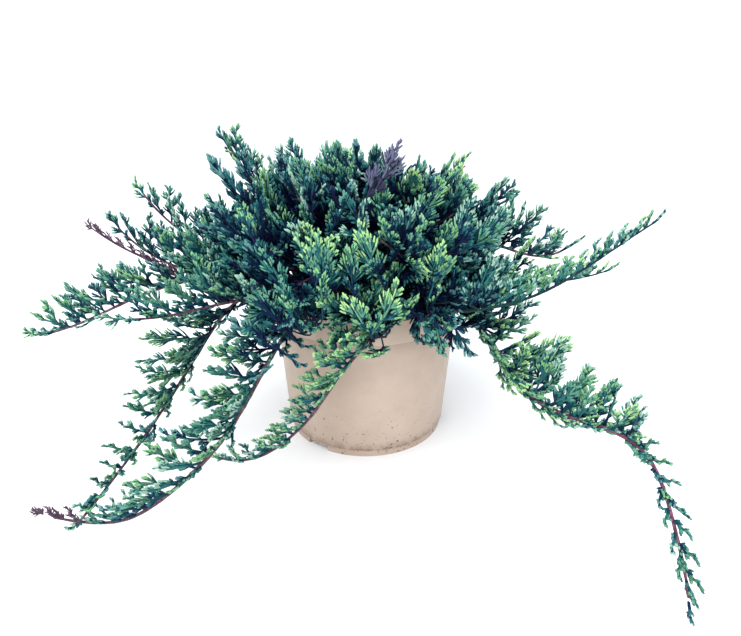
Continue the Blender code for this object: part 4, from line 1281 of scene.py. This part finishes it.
def prism(outline, reach, turn, low, high):
    """A scratch cutter: an outline round a place at a reach and a turn, between heights."""
    count = len(outline)
    out, along = outline.T
    x = (reach + out) * math.cos(turn) - along * math.sin(turn)
    y = (reach + out) * math.sin(turn) + along * math.cos(turn)
    corners = [(*place, height) for height in (low, high) for place in zip(x, y)]
    ends = [range(count)[::-1], range(count, 2 * count)]
    return new_object("cutter", plain_mesh("cutter", corners, [*ends, *ring_quads(2, count)[0]]))


def soil_height(share):
    return SOIL_TOP - (SOIL_TOP - SOIL_EDGE) * share ** 2


def make_soil():
    """Rough compost with crumbs, from the trunk to the pot's wall."""
    rng = np.random.default_rng(SEED)
    edge = inner_radius(SOIL_EDGE)
    shares = np.linspace(0.0, 1.0, SOIL_RINGS + 1)[1:, None]
    rings = round_corners(shares * edge, soil_height(shares), SOIL_SIDES)
    for _ in range(SOIL_WAVES):
        heading = rng.uniform(0, math.tau)
        pitch = rng.uniform(*WAVE_PITCHES)
        phase = rng.uniform(0, math.tau)
        across = rings[..., 0] * math.cos(heading) + rings[..., 1] * math.sin(heading)
        rings[..., 2] += np.sin(pitch * across + phase) * WAVE_STEEPNESS / pitch
    corners = [(0.0, 0.0, SOIL_TOP), *rings.reshape(-1, 3)]
    faces = round_faces(SOIL_RINGS, SOIL_SIDES)
    # Crumbs of bark and fibre lie on it
    for _ in range(CRUMBS):
        heading = rng.uniform(0, math.tau)
        share = CRUMB_EDGE * math.sqrt(rng.uniform(CRUMB_NEAREST, 1))
        size = rng.uniform(*CRUMB_SIZES)
        width = size * rng.uniform(*CRUMB_WIDTHS)
        thickness = size * rng.uniform(*CRUMB_HEIGHTS)
        turn = rng.uniform(0, math.tau)
        place = np.array([share * edge * math.cos(heading), share * edge * math.sin(heading),
                          soil_height(share) + CRUMB_LIFT])
        tilts = rng.uniform(-CRUMB_TILT, CRUMB_TILT, 2)
        ways = np.array([(math.cos(turn), math.sin(turn), tilts[0]),
                         (-math.sin(turn), math.cos(turn), tilts[1]), WORLD_UP])
        ways *= np.array([size, width, thickness])[:, None]
        first = len(corners)
        corners += [*(place + ways[:2]), *(place - ways[:2]), place + ways[2], place - ways[2]]
        above, below = ring_cap(first, 4, first + 4), ring_cap(first, 4, first + 5)[:, [1, 0, 2]]
        faces += [*np.stack([above, below], axis=1).reshape(-1, 3)]
    material = grained_material(
        "soil_look", (190.0, 6.0, 0.7),
        ((0.35, (20, 15, 12)), (0.55, (48, 34, 26)), (0.75, (92, 66, 46))),
        0.95, (300.0, 6.0, 0.7), 0.0012)
    new_piece(plain_mesh("soil", corners, faces, material), "potting_soil", "root_ball")


def make_stage():
    """Pale floor, white surroundings, a large soft lamp, and the camera."""
    corners = [(*corner, 0.0) for corner in SQUARE * FLOOR_SIZE / 2]
    look = plain_material("floor_look", (250, 250, 250), 0.9, 0.1)
    floor = new_object("floor", plain_mesh("floor", corners, [(0, 1, 2, 3)], look))
    world = bpy.data.worlds.new("surroundings")
    world.use_nodes = True
    background = world.node_tree.nodes["Background"]
    background.inputs["Color"].default_value = SKY_COLOUR
    background.inputs["Strength"].default_value = SKY_STRENGTH
    scene = bpy.context.scene
    scene.world = world
    scene.view_settings.view_transform = "Standard"
    lamp_data = bpy.data.lights.new("soft_lamp", "AREA")
    lamp_data.energy = LAMP_ENERGY
    lamp_data.size = LAMP_SIZE
    lamp = new_object("soft_lamp", lamp_data)
    lamp.location = LAMP_PLACE
    aim = unit(np.array(LAMP_AIM) - np.array(LAMP_PLACE))
    lamp.rotation_euler = (math.acos(-aim[2]), 0.0, math.atan2(aim[0], -aim[1]) + math.pi)
    camera_data = bpy.data.cameras.new("camera")
    camera_data.sensor_width = SENSOR_WIDTH
    camera_data.lens = LENS
    camera = new_object("camera", camera_data)
    camera.location = CAMERA_PLACE
    camera.rotation_euler = np.radians(CAMERA_TURNS)
    scene.camera = camera


limbs, stems = plan_stems()
fine_twigs = make_foliage(stems)
make_wood(limbs, fine_twigs)
make_pot()
make_soil()
make_stage()

bpy.context.view_layer.update()
